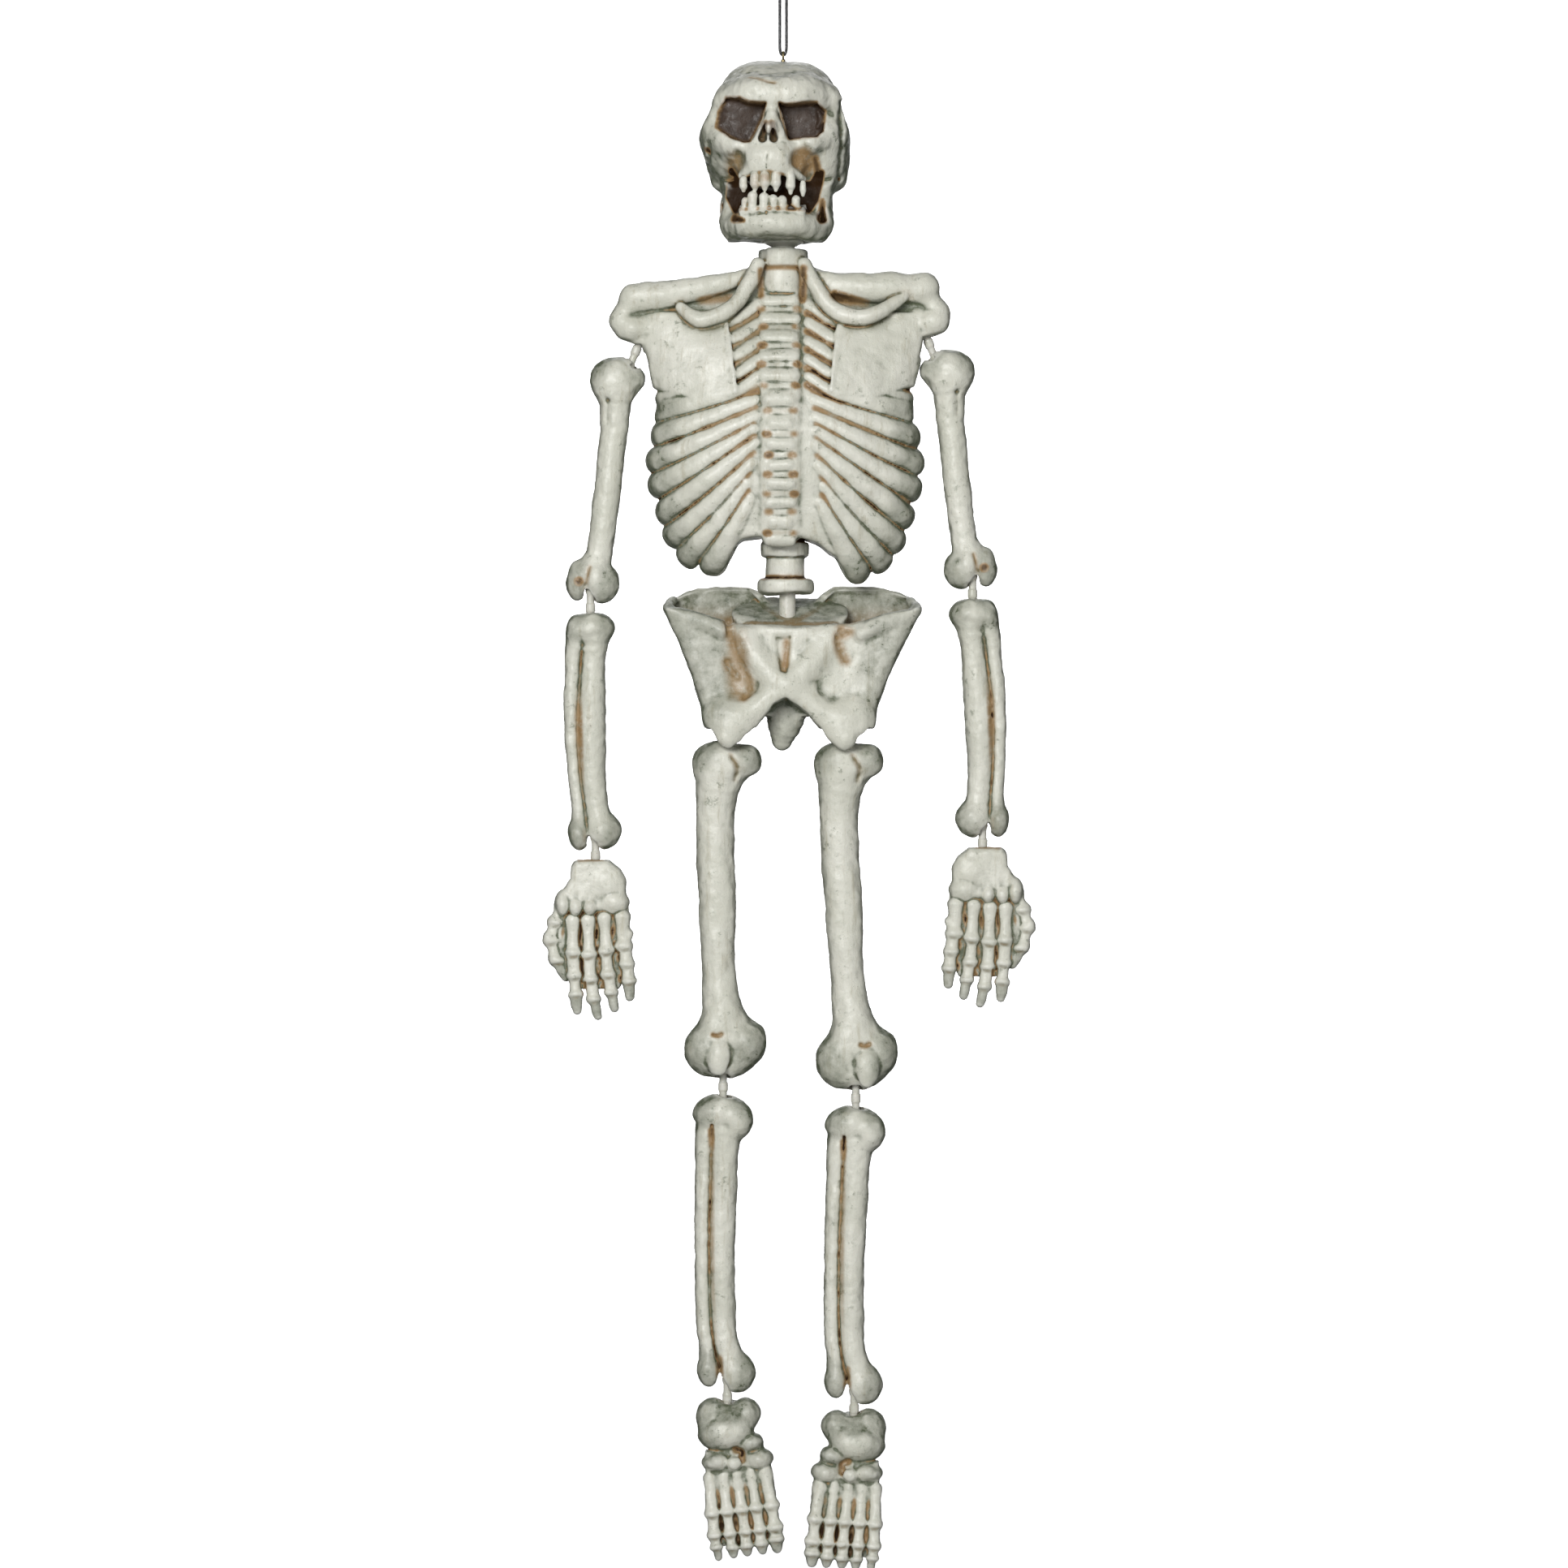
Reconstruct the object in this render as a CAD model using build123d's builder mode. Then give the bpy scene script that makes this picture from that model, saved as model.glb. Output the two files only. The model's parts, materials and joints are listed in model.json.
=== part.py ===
# A hanging skeleton figure, 0.9 m tall: hollow blow-moulded bones that dangle from each other on
# round-headed pins, hung by a cord loop from an eyelet in the crown.
# Millimetres. +Z is up, the figure faces -Y, and +X is the figure's own left.
# The origin is the inside of the top of the cord loop, where a hook carries the figure.

from build123d import *

import os
from math import cos, radians, sin

os.makedirs("parts", exist_ok=True)

# ---------------------------------------------------------------- driving dimensions
wall = 1.8  # skin of a blow-moulded bone

pin_gap = 7.5  # clear length of a limb pin, from hole to hole
pin_radius = 1.7
pin_head_radius = 4.0
pin_head_reach = 7.0  # from the hole to the middle of the head
hole_radius = 3.3  # lets the pin lean
shoulder_slant = 22.0  # degrees that a shoulder pin leans outwards on its way down
shoulder_boss_radius = 10.0
shoulder_boss_height = 16.0
humerus_offset = 9.5  # from the humerus's pin hole out to its own middle

waist_pin_radius = 4.9
waist_head_radius = 7.6
waist_head_reach = 11.0
waist_hole_radius = 6.2

crown_z = -58.5
chin_z = -166.0
skull_x = -4.0
face_turn = -11.0  # degrees about the neck: the skull looks towards its own right

neck_radius = 12.0
neck_clearance = 0.08
neck_head_radius = 15.0  # the plug's head inside the skull
neck_head_height = 4.0
neck_stem_radius = 7.0
neck_ball_radius = 8.8  # the plug's ball inside the torso
neck_ball_reach = 11.5
neck_hole_radius = 8.0
neck_gap = 1.3  # between the plug's cone and the torso's collar

collar_top = -171.3
collar_bottom = -188.0
collar_radius = 15.3
neck_column_radius = 12.6
neck_column_bottom = -208.0  # inside the chest
lumbar_top = -332.0  # inside the chest
lumbar_bottom = -378.0
lumbar_radius = 12.0
lumbar_bands = [(-347.0, -355.0, 15.0), (-368.5, lumbar_bottom, 17.0)]  # top, bottom, radius
sacrum_top = -388.0
torso_x = 1.2
waist_x = 2.5
pelvis_x = 4.2

cord_diameter = 1.8
cord_half_spacing = 2.0  # of the two strands about x = 0
eyelet_wire = 1.4
eyelet_hole_radius = 1.5
eyelet_shank_radius = 1.3
eyelet_shank_length = 9.0
eyelet_nut_radius = 4.0
eyelet_nut_height = 1.5

# Where each limb's pins leave the upper bone: (x, z).
joints_at = {
    "right": {
        "shoulder": (-86.8, -228.7),
        "elbow": (-115.5, -382.5),
        "wrist": (-112.5, -531.0),
        "hip": (-32.0, -458.0),
        "knee": (-36.0, -669.5),
        "ankle": (-33.5, -855.5),
    },
    "left": {
        "shoulder": (86.0, -224.3),
        "elbow": (113.5, -374.0),
        "wrist": (119.5, -523.5),
        "hip": (40.5, -458.0),
        "knee": (43.5, -676.5),
        "ankle": (42.5, -862.5),
    },
}
hand_length = 95.0
foot_length = 91.0
foot_lean = {"right": 8.0, "left": 5.0}  # degrees that the toes swing towards the other foot

# Outlines of the hollow pieces: (place along the bone from 0 to 1, x, y, half width, half depth).
# x is positive away from the body in the arm and the leg.
humerus_outline = [
    (0.00, 0, 0, 10.5, 8.5),
    (0.02, 0, 0, 14.0, 12.0),
    (0.07, 0, 0, 16.0, 14.2),
    (0.14, 0, 0, 14.8, 13.5),
    (0.22, 0, 0, 10.4, 9.8),
    (0.31, 0, 0, 8.4, 8.2),
    (0.57, 0, 0, 8.3, 8.0),
    (0.79, 0, 0, 9.0, 8.2),
    (0.88, 0, 0, 14.2, 10.0),
    (0.94, 0, 0, 15.6, 11.5),
    (0.98, 0, 0, 13.0, 10.0),
    (1.00, 0, 0, 9.0, 8.0),
]
forearm_outline = [
    (0.00, 0, 0, 9.0, 8.0),
    (0.02, 0, 0, 12.5, 10.0),
    (0.06, 0, 0, 14.8, 11.5),
    (0.13, 0, 0, 14.0, 11.0),
    (0.21, 0, 0, 10.6, 9.0),
    (0.39, 0, 0, 10.8, 8.6),
    (0.56, 0, 0, 12.0, 8.8),
    (0.74, 0, 0, 11.2, 8.4),
    (0.86, 0, 0, 11.6, 8.8),
    (0.93, 0, 0, 15.4, 10.5),
    (0.98, 0, 0, 13.5, 10.0),
    (1.00, 0, 0, 9.0, 8.0),
]
femur_outline = [
    (0.00, 0.0, 0, 9.5, 8.5),
    (0.02, 1.0, 0, 15.0, 13.0),
    (0.06, 1.0, 0, 19.5, 15.5),
    (0.10, -1.0, 0, 18.0, 15.0),
    (0.16, -4.0, 0, 14.5, 13.0),
    (0.22, -5.0, 0, 11.8, 11.2),
    (0.46, -3.5, 0, 10.9, 10.4),
    (0.76, -2.0, 0, 10.4, 10.2),
    (0.83, -1.0, 0, 14.5, 12.5),
    (0.90, 0.0, 0, 23.6, 16.5),
    (0.96, 0.0, 0, 21.0, 15.5),
    (1.00, 0.0, 0, 11.0, 9.5),
]
shin_outline = [
    (0.00, 0.0, 0, 9.5, 8.5),
    (0.02, 0.0, 0, 15.0, 12.5),
    (0.08, 0.0, 0, 18.0, 14.5),
    (0.13, 0.5, 0, 16.8, 13.5),
    (0.20, 2.0, 0, 13.4, 11.0),
    (0.42, 2.5, 0, 13.5, 10.0),
    (0.65, 3.0, 0, 13.2, 9.6),
    (0.83, 3.0, 0, 12.4, 9.4),
    (0.93, 1.5, 0, 17.0, 11.5),
    (0.97, 0.5, 0, 15.5, 10.5),
    (1.00, 0.0, 0, 9.5, 8.0),
]
palm_outline = [
    (0.00, 0.0, 0.0, 10.0, 8.0),
    (0.03, 0.0, 0.0, 14.5, 10.0),
    (0.15, 0.5, 0.0, 17.0, 10.5),
    (0.32, 0.5, -1.0, 21.0, 10.0),
    (0.60, 0.0, -2.0, 24.0, 10.0),
    (0.82, -2.0, -3.0, 23.0, 9.0),
    (1.00, -4.0, -4.0, 20.0, 7.0),
]
instep_outline = [
    (0.00, 0.0, 1.0, 10.0, 9.0),
    (0.04, 0.0, 3.0, 16.5, 15.0),
    (0.14, 0.0, 5.0, 19.0, 19.0),
    (0.28, 0.0, 4.0, 17.0, 17.0),
    (0.46, -0.5, 0.0, 20.0, 13.0),
    (0.70, -1.0, -5.0, 21.5, 10.5),
    (1.00, -1.0, -9.0, 21.5, 8.0),
]
skull_outline = [
    (0.00, 0, 5.0, 14.0, 18.0),
    (0.04, 0, 5.0, 28.0, 35.0),
    (0.13, 0, 5.0, 38.0, 47.0),
    (0.26, 0, 5.0, 42.5, 53.0),
    (0.46, 0, 5.0, 44.0, 55.0),
    (0.63, 0, 3.0, 42.0, 52.0),
    (0.76, 0, -3.0, 34.0, 43.0),
    (0.88, 0, -6.0, 34.0, 37.0),
    (0.97, 0, -6.0, 32.0, 34.0),
    (1.00, 0, -6.0, 29.0, 31.0),
]

# Outlines of the hollow trunk: (z, x, y, half width, half depth).
chest_outline = [
    (-197.0, 0, 0, 40.0, 12.0),
    (-200.0, 0, 0, 78.0, 14.0),
    (-206.0, 0, 0, 91.0, 16.0),
    (-222.0, 0, 0, 97.0, 19.0),
    (-226.0, 0, 0, 85.0, 23.0),
    (-234.0, 0, 0, 78.5, 28.0),
    (-250.0, 0, 0, 78.0, 33.0),
    (-275.0, 0, 0, 81.0, 37.0),
    (-300.0, 0, 0, 84.0, 38.0),
    (-325.0, 0, 0, 78.0, 35.0),
    (-346.0, 0, 0, 68.0, 29.0),
    (-361.0, 0, 0, 52.0, 20.0),
]
wing_outline = [
    (-370.0, 40.0, -9.0, 13.0, 6.0),
    (-378.0, 48.0, -9.0, 25.0, 8.0),
    (-388.0, 49.0, -8.0, 28.5, 9.0),
    (-404.0, 46.0, -6.0, 25.0, 10.0),
    (-420.0, 42.0, -3.0, 21.0, 11.0),
    (-436.0, 39.0, 0.0, 19.0, 12.0),
    (-450.0, 36.5, 0.0, 15.0, 11.5),
    (-458.9, 36.2, 0.0, 12.0, 10.0),
]
sacrum_outline = [
    (-387.1, 0, 0.0, 34.0, 17.0),
    (-398.0, 0, 0.5, 35.0, 18.0),
    (-418.0, 0, 1.0, 26.0, 14.0),
    (-440.0, 0, 2.0, 15.0, 9.0),
    (-470.0, 0, 3.0, 8.0, 5.0),
]

# Solid digits: (start and end as (x, y, depth), start and end radius), x positive to the thumb.
fingers = [
    ((20.0, -2.0, 20.0), (27.0, -3.0, 46.0), 5.5, 5.0),
    ((27.0, -3.0, 46.0), (17.0, -4.0, 70.0), 5.0, 3.0),
    ((10.0, -4.0, 60.0), (8.5, -6.0, 91.0), 5.0, 3.0),
    ((-1.0, -4.0, 60.0), (-4.5, -6.0, 92.0), 5.0, 3.0),
    ((-11.0, -4.0, 58.0), (-14.0, -6.0, 85.0), 5.0, 3.0),
    ((-20.0, -4.0, 50.0), (-22.5, -6.0, 79.0), 4.5, 3.0),
]
instep_share = 0.86  # of the foot's length; the toes are the rest
toe_pitch = 9.0
toe_radius = 4.0


# ---------------------------------------------------------------- helpers
def below(place, slant=0.0):
    """The far end of a limb pin's clear length, leaning away from the body by slant degrees."""
    x, z = place
    out = 1 if x > 0 else -1
    return (x + out * pin_gap * sin(radians(slant)), z - pin_gap * cos(radians(slant)))


def axis_plane(top, bottom):
    """The plane at top whose normal comes up from bottom, turned so that its y points forward."""
    up = (Vector(top[0], 0, top[1]) - Vector(bottom[0], 0, bottom[1])).normalized()
    return Plane(origin=(top[0], 0, top[1]), x_dir=(up.Z, 0, -up.X), z_dir=up)


def distance(top, bottom):
    """The length between two (x, z) places."""
    return (Vector(*top) - Vector(*bottom)).length


def profiles(plane, outline, length, inset=0.0, side=1):
    """Elliptical profiles for loft(), along plane's axis downwards; inset takes off a wall."""
    sketches = []
    for share, x, y, half_width, half_depth in outline:
        depth = share * (length + wall) - wall / 2
        depth = min(max(depth, inset - wall / 2), length + wall / 2 - inset)
        with BuildSketch(plane.offset(-depth)) as profile:
            with Locations((side * x, y)):
                Ellipse(half_width - inset, half_depth - inset)
        sketches.append(profile.sketch)
    return sketches


def level_profiles(outline, middle_x, inset=0.0, side=1):
    """Elliptical profiles for loft() at stated heights; inset takes off a wall."""
    top = outline[0][0] - inset
    bottom = outline[-1][0] + inset
    sketches = []
    for z, x, y, half_width, half_depth in outline:
        with BuildSketch(Plane.XY.offset(max(min(z, top), bottom))) as profile:
            with Locations((middle_x + side * x, y)):
                Ellipse(half_width - inset, half_depth - inset)
        sketches.append(profile.sketch)
    return sketches


def pin_hole(at, axis, radius=hole_radius):
    """Cuts a round hole through the skin at (x, z), across the given plane."""
    with Locations(Plane(origin=(at[0], 0, at[1]), x_dir=axis.x_dir, z_dir=axis.z_dir)):
        Cylinder(radius, 4 * wall, mode=Mode.SUBTRACT)


def save(part, name):
    """Writes one named piece."""
    part.label = name
    export_step(part, f"parts/{name}.step")


def link_pin(name, upper, lower, radius, head_radius, reach):
    """A stem through two holes, with a round head past each of them."""
    axis = axis_plane(upper, lower)
    span = distance(upper, lower)
    with BuildPart() as pin:
        with BuildSketch(axis.offset(reach)):
            Circle(radius)
        extrude(amount=-(span + 2 * reach))
        for at in (reach, -span - reach):
            with Locations(axis.offset(at)):
                Sphere(head_radius)
    save(pin.part, name)


def limb_bone(name, top, bottom, outline, side, top_hole=None):
    """A hollow bone between two pin holes; top_hole moves the upper one off the bone's middle."""
    axis = axis_plane(top, bottom)
    length = distance(top, bottom)
    with BuildPart() as bone:
        loft(profiles(axis, outline, length, 0.0, side))
        loft(profiles(axis, outline, length, wall, side), mode=Mode.SUBTRACT)
        pin_hole(top_hole or top, axis)
        pin_hole(bottom, axis)
    save(bone.part, name)


def digit(start, end, start_radius, end_radius):
    """A solid tapered digit with a round tip."""
    line = Vector(*end) - Vector(*start)
    near = Plane(origin=start, z_dir=line)
    with BuildSketch(near) as root:
        Circle(start_radius)
    with BuildSketch(near.offset(line.length)) as tip:
        Circle(end_radius)
    loft([root.sketch, tip.sketch])
    with Locations(near.offset(line.length)):
        Sphere(end_radius)


# ---------------------------------------------------------------- hanging cord and eyelet
def make_cord(eyelet_z):
    """A taut loop: up one strand, round the hook, down the other, with its splice in the eye."""
    radius = cord_diameter / 2
    low_z = eyelet_z + eyelet_hole_radius - radius - 0.05
    splice = 0.1
    route = [
        (-splice, 0, low_z),
        (-cord_half_spacing, 0, low_z),
        (-cord_half_spacing, 0, radius),
        (cord_half_spacing, 0, radius),
        (cord_half_spacing, 0, low_z),
        (splice, 0, low_z),
    ]
    eye_bend = 1.8
    hook_bend = 0.995 * cord_half_spacing
    radii = [eye_bend, hook_bend, hook_bend, eye_bend]
    with BuildPart() as cord:
        with BuildLine() as path:
            FilletPolyline(*route, radius=radii)
        with BuildSketch(Plane(origin=route[0], z_dir=(-1, 0, 0))):
            Circle(radius)
        sweep(path=path.wires()[0])
    length = path.wires()[0].length
    section = 3.141592653589793 * radius**2
    print("cord radii", radii, "length", round(length, 2), "swept/section*length",
          round(cord.part.volume / (section * length), 4))
    save(cord.part, "hanging_cord")


def make_eyelet(eyelet_z):
    """A wire ring on a shank through the crown, held by a nut inside."""
    ring_radius = eyelet_hole_radius + eyelet_wire / 2
    nut_top = crown_z - wall
    with BuildPart() as eyelet:
        with Locations(Plane(origin=(0, 0, eyelet_z), z_dir=(1, 0, 0))):
            Torus(ring_radius, eyelet_wire / 2)
        with BuildSketch(Plane.XY.offset(eyelet_z - ring_radius)):
            Circle(eyelet_shank_radius)
        extrude(amount=-eyelet_shank_length)
        with BuildSketch(Plane.XY.offset(nut_top)):
            Circle(eyelet_nut_radius)
        extrude(amount=-eyelet_nut_height)
    save(eyelet.part, "crown_eyelet")


# ---------------------------------------------------------------- skull and neck
def make_skull():
    """A hollow skull, open below for the neck plug and above for the eyelet's shank."""
    turned = Plane(origin=(0, 0, 0), x_dir=Vector(1, 0, 0).rotate(Axis.Z, face_turn), z_dir=(0, 0, 1))
    top = Plane(origin=(skull_x, 0, crown_z - wall / 2), x_dir=turned.x_dir, z_dir=(0, 0, 1))
    height = crown_z - chin_z - wall
    with BuildPart() as skull:
        loft(profiles(top, skull_outline, height))
        loft(profiles(top, skull_outline, height, wall), mode=Mode.SUBTRACT)
        with Locations((0, 0, chin_z)):
            Cylinder(neck_radius + neck_clearance, 4 * wall, mode=Mode.SUBTRACT)
        with Locations((0, 0, crown_z)):
            Cylinder(eyelet_shank_radius, 4 * wall, mode=Mode.SUBTRACT)
    save(skull.part, "skull")


def make_neck_plug():
    """The plug that turns in the skull's base and rocks in the torso's collar."""
    head_bottom = chin_z + wall + 0.3
    cone_bottom = collar_top + neck_gap
    cone_height = 2.4
    with BuildPart() as plug:
        with BuildSketch(Plane.XY.offset(head_bottom)):
            Circle(neck_head_radius)
        extrude(amount=neck_head_height)
        with BuildSketch(Plane.XY.offset(cone_bottom + cone_height)):
            Circle(neck_radius)
        extrude(amount=head_bottom - cone_bottom - cone_height)
        with BuildSketch(Plane.XY.offset(cone_bottom + cone_height)):
            Circle(neck_radius)
        with BuildSketch(Plane.XY.offset(cone_bottom)):
            Circle(neck_stem_radius)
        loft()
        with BuildSketch(Plane.XY.offset(cone_bottom)):
            Circle(neck_stem_radius)
        extrude(amount=collar_top - neck_ball_reach - cone_bottom)
        with Locations((0, 0, collar_top - neck_ball_reach)):
            Sphere(neck_ball_radius)
    save(plug.part, "neck_plug")


# ---------------------------------------------------------------- trunk
def round_column(x, top, bottom, radius, mode=Mode.ADD):
    """An upright cylinder about x between two heights."""
    with Locations((x, 0, (top + bottom) / 2)):
        Cylinder(radius, top - bottom, mode=mode)


def make_torso():
    """Neck collar, chest and lumbar spine in one hollow moulding."""
    shoulders = [
        axis_plane(at["shoulder"], below(at["shoulder"], shoulder_slant)) for at in joints_at.values()
    ]
    with BuildPart() as torso:
        loft(level_profiles(chest_outline, torso_x), ruled=True)
        round_column(0, collar_top, collar_bottom, collar_radius)
        round_column(0, collar_top, neck_column_bottom, neck_column_radius)
        round_column(waist_x, lumbar_top, lumbar_bottom, lumbar_radius)
        for top, bottom, radius in lumbar_bands:
            round_column(waist_x, top, bottom, radius)
        for plane in shoulders:
            with BuildSketch(plane.offset(-wall / 2)):
                Circle(shoulder_boss_radius)
            extrude(amount=shoulder_boss_height)

        loft(level_profiles(chest_outline, torso_x, wall), ruled=True, mode=Mode.SUBTRACT)
        neck_bore = neck_column_radius - wall
        round_column(0, collar_top - wall, neck_column_bottom, neck_bore, Mode.SUBTRACT)
        lumbar_bore = lumbar_radius - wall
        round_column(waist_x, lumbar_top, lumbar_bottom + wall, lumbar_bore, Mode.SUBTRACT)
        for plane in shoulders:
            with BuildSketch(plane.offset(wall / 2)):
                Circle(shoulder_boss_radius - wall)
            extrude(amount=shoulder_boss_height - wall, mode=Mode.SUBTRACT)

        round_column(0, collar_top + wall, collar_top - 2 * wall, neck_hole_radius, Mode.SUBTRACT)
        waist_hole_top = lumbar_bottom + 2 * wall
        round_column(waist_x, waist_hole_top, lumbar_bottom - wall, waist_hole_radius, Mode.SUBTRACT)
        for plane, at in zip(shoulders, joints_at.values()):
            pin_hole(at["shoulder"], plane)
    save(torso.part, "torso")


def make_pelvis():
    """Two wings and the sacrum in one hollow moulding."""
    with BuildPart() as pelvis:
        loft(level_profiles(sacrum_outline, pelvis_x))
        for side in (-1, 1):
            loft(level_profiles(wing_outline, pelvis_x, 0.0, side))
        loft(level_profiles(sacrum_outline, pelvis_x, wall), mode=Mode.SUBTRACT)
        for side in (-1, 1):
            loft(level_profiles(wing_outline, pelvis_x, wall, side), mode=Mode.SUBTRACT)
        with Locations((waist_x, 0, sacrum_top)):
            Cylinder(waist_hole_radius, 4 * wall, mode=Mode.SUBTRACT)
        for at in joints_at.values():
            pin_hole(at["hip"], Plane.XY)
    save(pelvis.part, "pelvis")


# ---------------------------------------------------------------- limbs
def make_hand(name, wrist, side):
    """A hollow palm with solid fingers, moulded in one."""
    straight_down = (wrist[0], wrist[1] - hand_length)
    axis = axis_plane(wrist, straight_down)
    palm_length = 0.78 * hand_length
    with BuildPart() as hand:
        loft(profiles(axis, palm_outline, palm_length, 0.0, side))
        for start, end, start_radius, end_radius in fingers:
            places = [(wrist[0] + side * x, y, wrist[1] - depth) for x, y, depth in (start, end)]
            digit(*places, start_radius, end_radius)
        loft(profiles(axis, palm_outline, palm_length, wall, side), mode=Mode.SUBTRACT)
        pin_hole(wrist, axis)
    save(hand.part, name)


def make_foot(name, ankle, side):
    """A hollow instep and heel with solid toes, hanging toes down, moulded in one."""
    lean = radians(foot_lean["left" if side > 0 else "right"])
    toes_at = (ankle[0] - side * foot_length * sin(lean), ankle[1] - foot_length * cos(lean))
    axis = axis_plane(ankle, toes_at)
    instep = instep_share * foot_length
    with BuildPart() as foot:
        loft(profiles(axis, instep_outline, instep, 0.0, side), ruled=True)
        for toe in range(5):
            across = side * (toe - 2) * toe_pitch
            start = axis.from_local_coords((across, -9.0, -instep + toe_radius))
            end = axis.from_local_coords((across, -10.0, -foot_length + 2.5))
            digit(start, end, toe_radius, 2.5)
        loft(profiles(axis, instep_outline, instep, wall, side), ruled=True, mode=Mode.SUBTRACT)
        pin_hole(ankle, axis)
    save(foot.part, name)


def make_limbs(side_name):
    """The six bones of one side and the pins that they hang on."""
    at = joints_at[side_name]
    side = 1 if side_name == "left" else -1
    low = {joint: below(at[joint]) for joint in at}
    low["shoulder"] = below(at["shoulder"], shoulder_slant)
    for joint in at:
        link_pin(
            f"{side_name}_{joint}_pin", at[joint], low[joint],
            pin_radius, pin_head_radius, pin_head_reach,
        )
    shoulder_x, shoulder_z = low["shoulder"]
    humerus_top = (shoulder_x + side * humerus_offset, shoulder_z)
    limb_bone(
        f"{side_name}_humerus", humerus_top, at["elbow"], humerus_outline, side, low["shoulder"]
    )
    limb_bone(f"{side_name}_forearm", low["elbow"], at["wrist"], forearm_outline, side)
    limb_bone(f"{side_name}_femur", low["hip"], at["knee"], femur_outline, side)
    limb_bone(f"{side_name}_shin", low["knee"], at["ankle"], shin_outline, side)
    make_hand(f"{side_name}_hand", low["wrist"], side)
    make_foot(f"{side_name}_foot", low["ankle"], side)


eyelet_middle = crown_z + eyelet_hole_radius + eyelet_wire + 0.3
make_cord(eyelet_middle)
make_eyelet(eyelet_middle)
make_skull()
make_neck_plug()
make_torso()
make_pelvis()
link_pin(
    "waist_pin", (waist_x, lumbar_bottom + wall / 2), (waist_x, sacrum_top),
    waist_pin_radius, waist_head_radius, waist_head_reach,
)
for name in joints_at:
    make_limbs(name)
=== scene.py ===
# A hanging skeleton figure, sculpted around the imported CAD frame.
# Every bone is modelled in a block of clay: a voxel grid of signed distances, in millimetres, to
# which rounded shapes are added and from which others are cut. The grid becomes a mesh in metres.
# +Z is up, the figure faces -Y and +X is the figure's own left.

import json
from collections import namedtuple
from math import cos, pi, radians, sin

import bpy
import numpy as np
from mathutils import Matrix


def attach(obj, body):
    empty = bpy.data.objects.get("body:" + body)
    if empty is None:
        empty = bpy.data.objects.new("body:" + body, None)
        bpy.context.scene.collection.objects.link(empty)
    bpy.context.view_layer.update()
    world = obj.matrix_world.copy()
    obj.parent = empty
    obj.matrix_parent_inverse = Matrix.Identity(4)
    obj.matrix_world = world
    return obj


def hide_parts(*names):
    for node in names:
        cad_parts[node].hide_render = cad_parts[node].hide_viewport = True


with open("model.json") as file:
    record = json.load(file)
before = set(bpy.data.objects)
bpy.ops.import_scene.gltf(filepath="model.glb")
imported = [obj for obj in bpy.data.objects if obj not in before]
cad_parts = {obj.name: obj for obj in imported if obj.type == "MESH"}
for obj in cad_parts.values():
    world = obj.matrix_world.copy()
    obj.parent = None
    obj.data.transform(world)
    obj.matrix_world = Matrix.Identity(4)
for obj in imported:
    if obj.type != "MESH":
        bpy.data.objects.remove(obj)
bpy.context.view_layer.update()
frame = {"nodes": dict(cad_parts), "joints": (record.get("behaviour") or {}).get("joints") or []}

import openvdb
from mathutils import Vector

JOINTS = {
    joint["name"]: tuple(1000 * value for value in joint["pos_m"])[::2] for joint in frame["joints"]
}
SIDES = {"right": -1, "left": 1}

# Lengths are in millimetres, but for the camera, the cord, the paper and the lights, in metres.
PIN_LENGTH = 7.5  # between its two holes
PIN_RADIUS = 2.3
PIN_HEAD = 3.0  # radius of the round ends, out of sight in the bones
PIN_HOLE = 3.4  # radius
PIN_REACH = 7.0  # from the hole to the middle of the pin's round head
PIN_WELL = 6.9  # radius of the hollow round that head, which it swings in
HUMERUS_LENGTH = 146  # this and the next three are from pin hole to pin hole
FOREARM_LENGTH = 142
FEMUR_LENGTH = 206
SHIN_LENGTH = 178.5
HUMERUS_OFFSET = 9.5  # from the arm's axis inwards to its upper hole
SHOULDER_SLANT = radians(22)
SKULL_MIDDLE = -4.0  # x of each middle line
TORSO_MIDDLE = 1.2
WAIST_MIDDLE = 2.5
PELVIS_MIDDLE = 4.2


# ---------------------------------------------------------------- camera and hanging cord
def make_camera():
    """Level, square to the figure, and far back."""
    distance = 3.6
    frame_height = 0.940
    frame_middle = (0.0005, -0.4918)
    data = bpy.data.cameras.new("camera")
    data.sensor_width = 36.0
    data.lens = data.sensor_width * distance / frame_height
    camera = bpy.data.objects.new("camera", data)
    camera.location = (frame_middle[0], -distance, frame_middle[1])
    camera.rotation_euler = (pi / 2, 0, 0)
    bpy.context.scene.collection.objects.link(camera)
    bpy.context.scene.camera = camera


def make_cord():
    """A loop of thin black cord, hung over a hook and spliced in the eyelet."""
    diameter = 0.0018
    half_spacing = 0.002
    splice = 0.0001
    low = -0.05475
    top = 0.0009
    straight_from = low + 6 * diameter
    straight_to = top - 6 * diameter
    strand = [
        (-splice, low), (-half_spacing, low), (-half_spacing, straight_from),
        (-half_spacing, straight_to), (-half_spacing, top),
    ]
    route = strand + [(-x, z) for x, z in reversed(strand)]
    data = bpy.data.curves.new("cord_loop", "CURVE")
    data.dimensions = "3D"
    spline = data.splines.new("NURBS")
    spline.points.add(len(route) - 1)
    for point, (x, z) in zip(spline.points, route):
        point.co = (x, 0, z, 1)
        point.radius = diameter / 2
    spline.order_u = 3
    spline.use_endpoint_u = True
    spline.resolution_u = 12
    data.bevel_depth = 1.0  # times each point's radius
    data.bevel_resolution = 5
    data.use_fill_caps = True
    cord = bpy.data.objects.new("cord_loop", data)
    bpy.context.scene.collection.objects.link(cord)
    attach(cord, "head")
    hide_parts("hanging_cord")
    return cord


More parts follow.
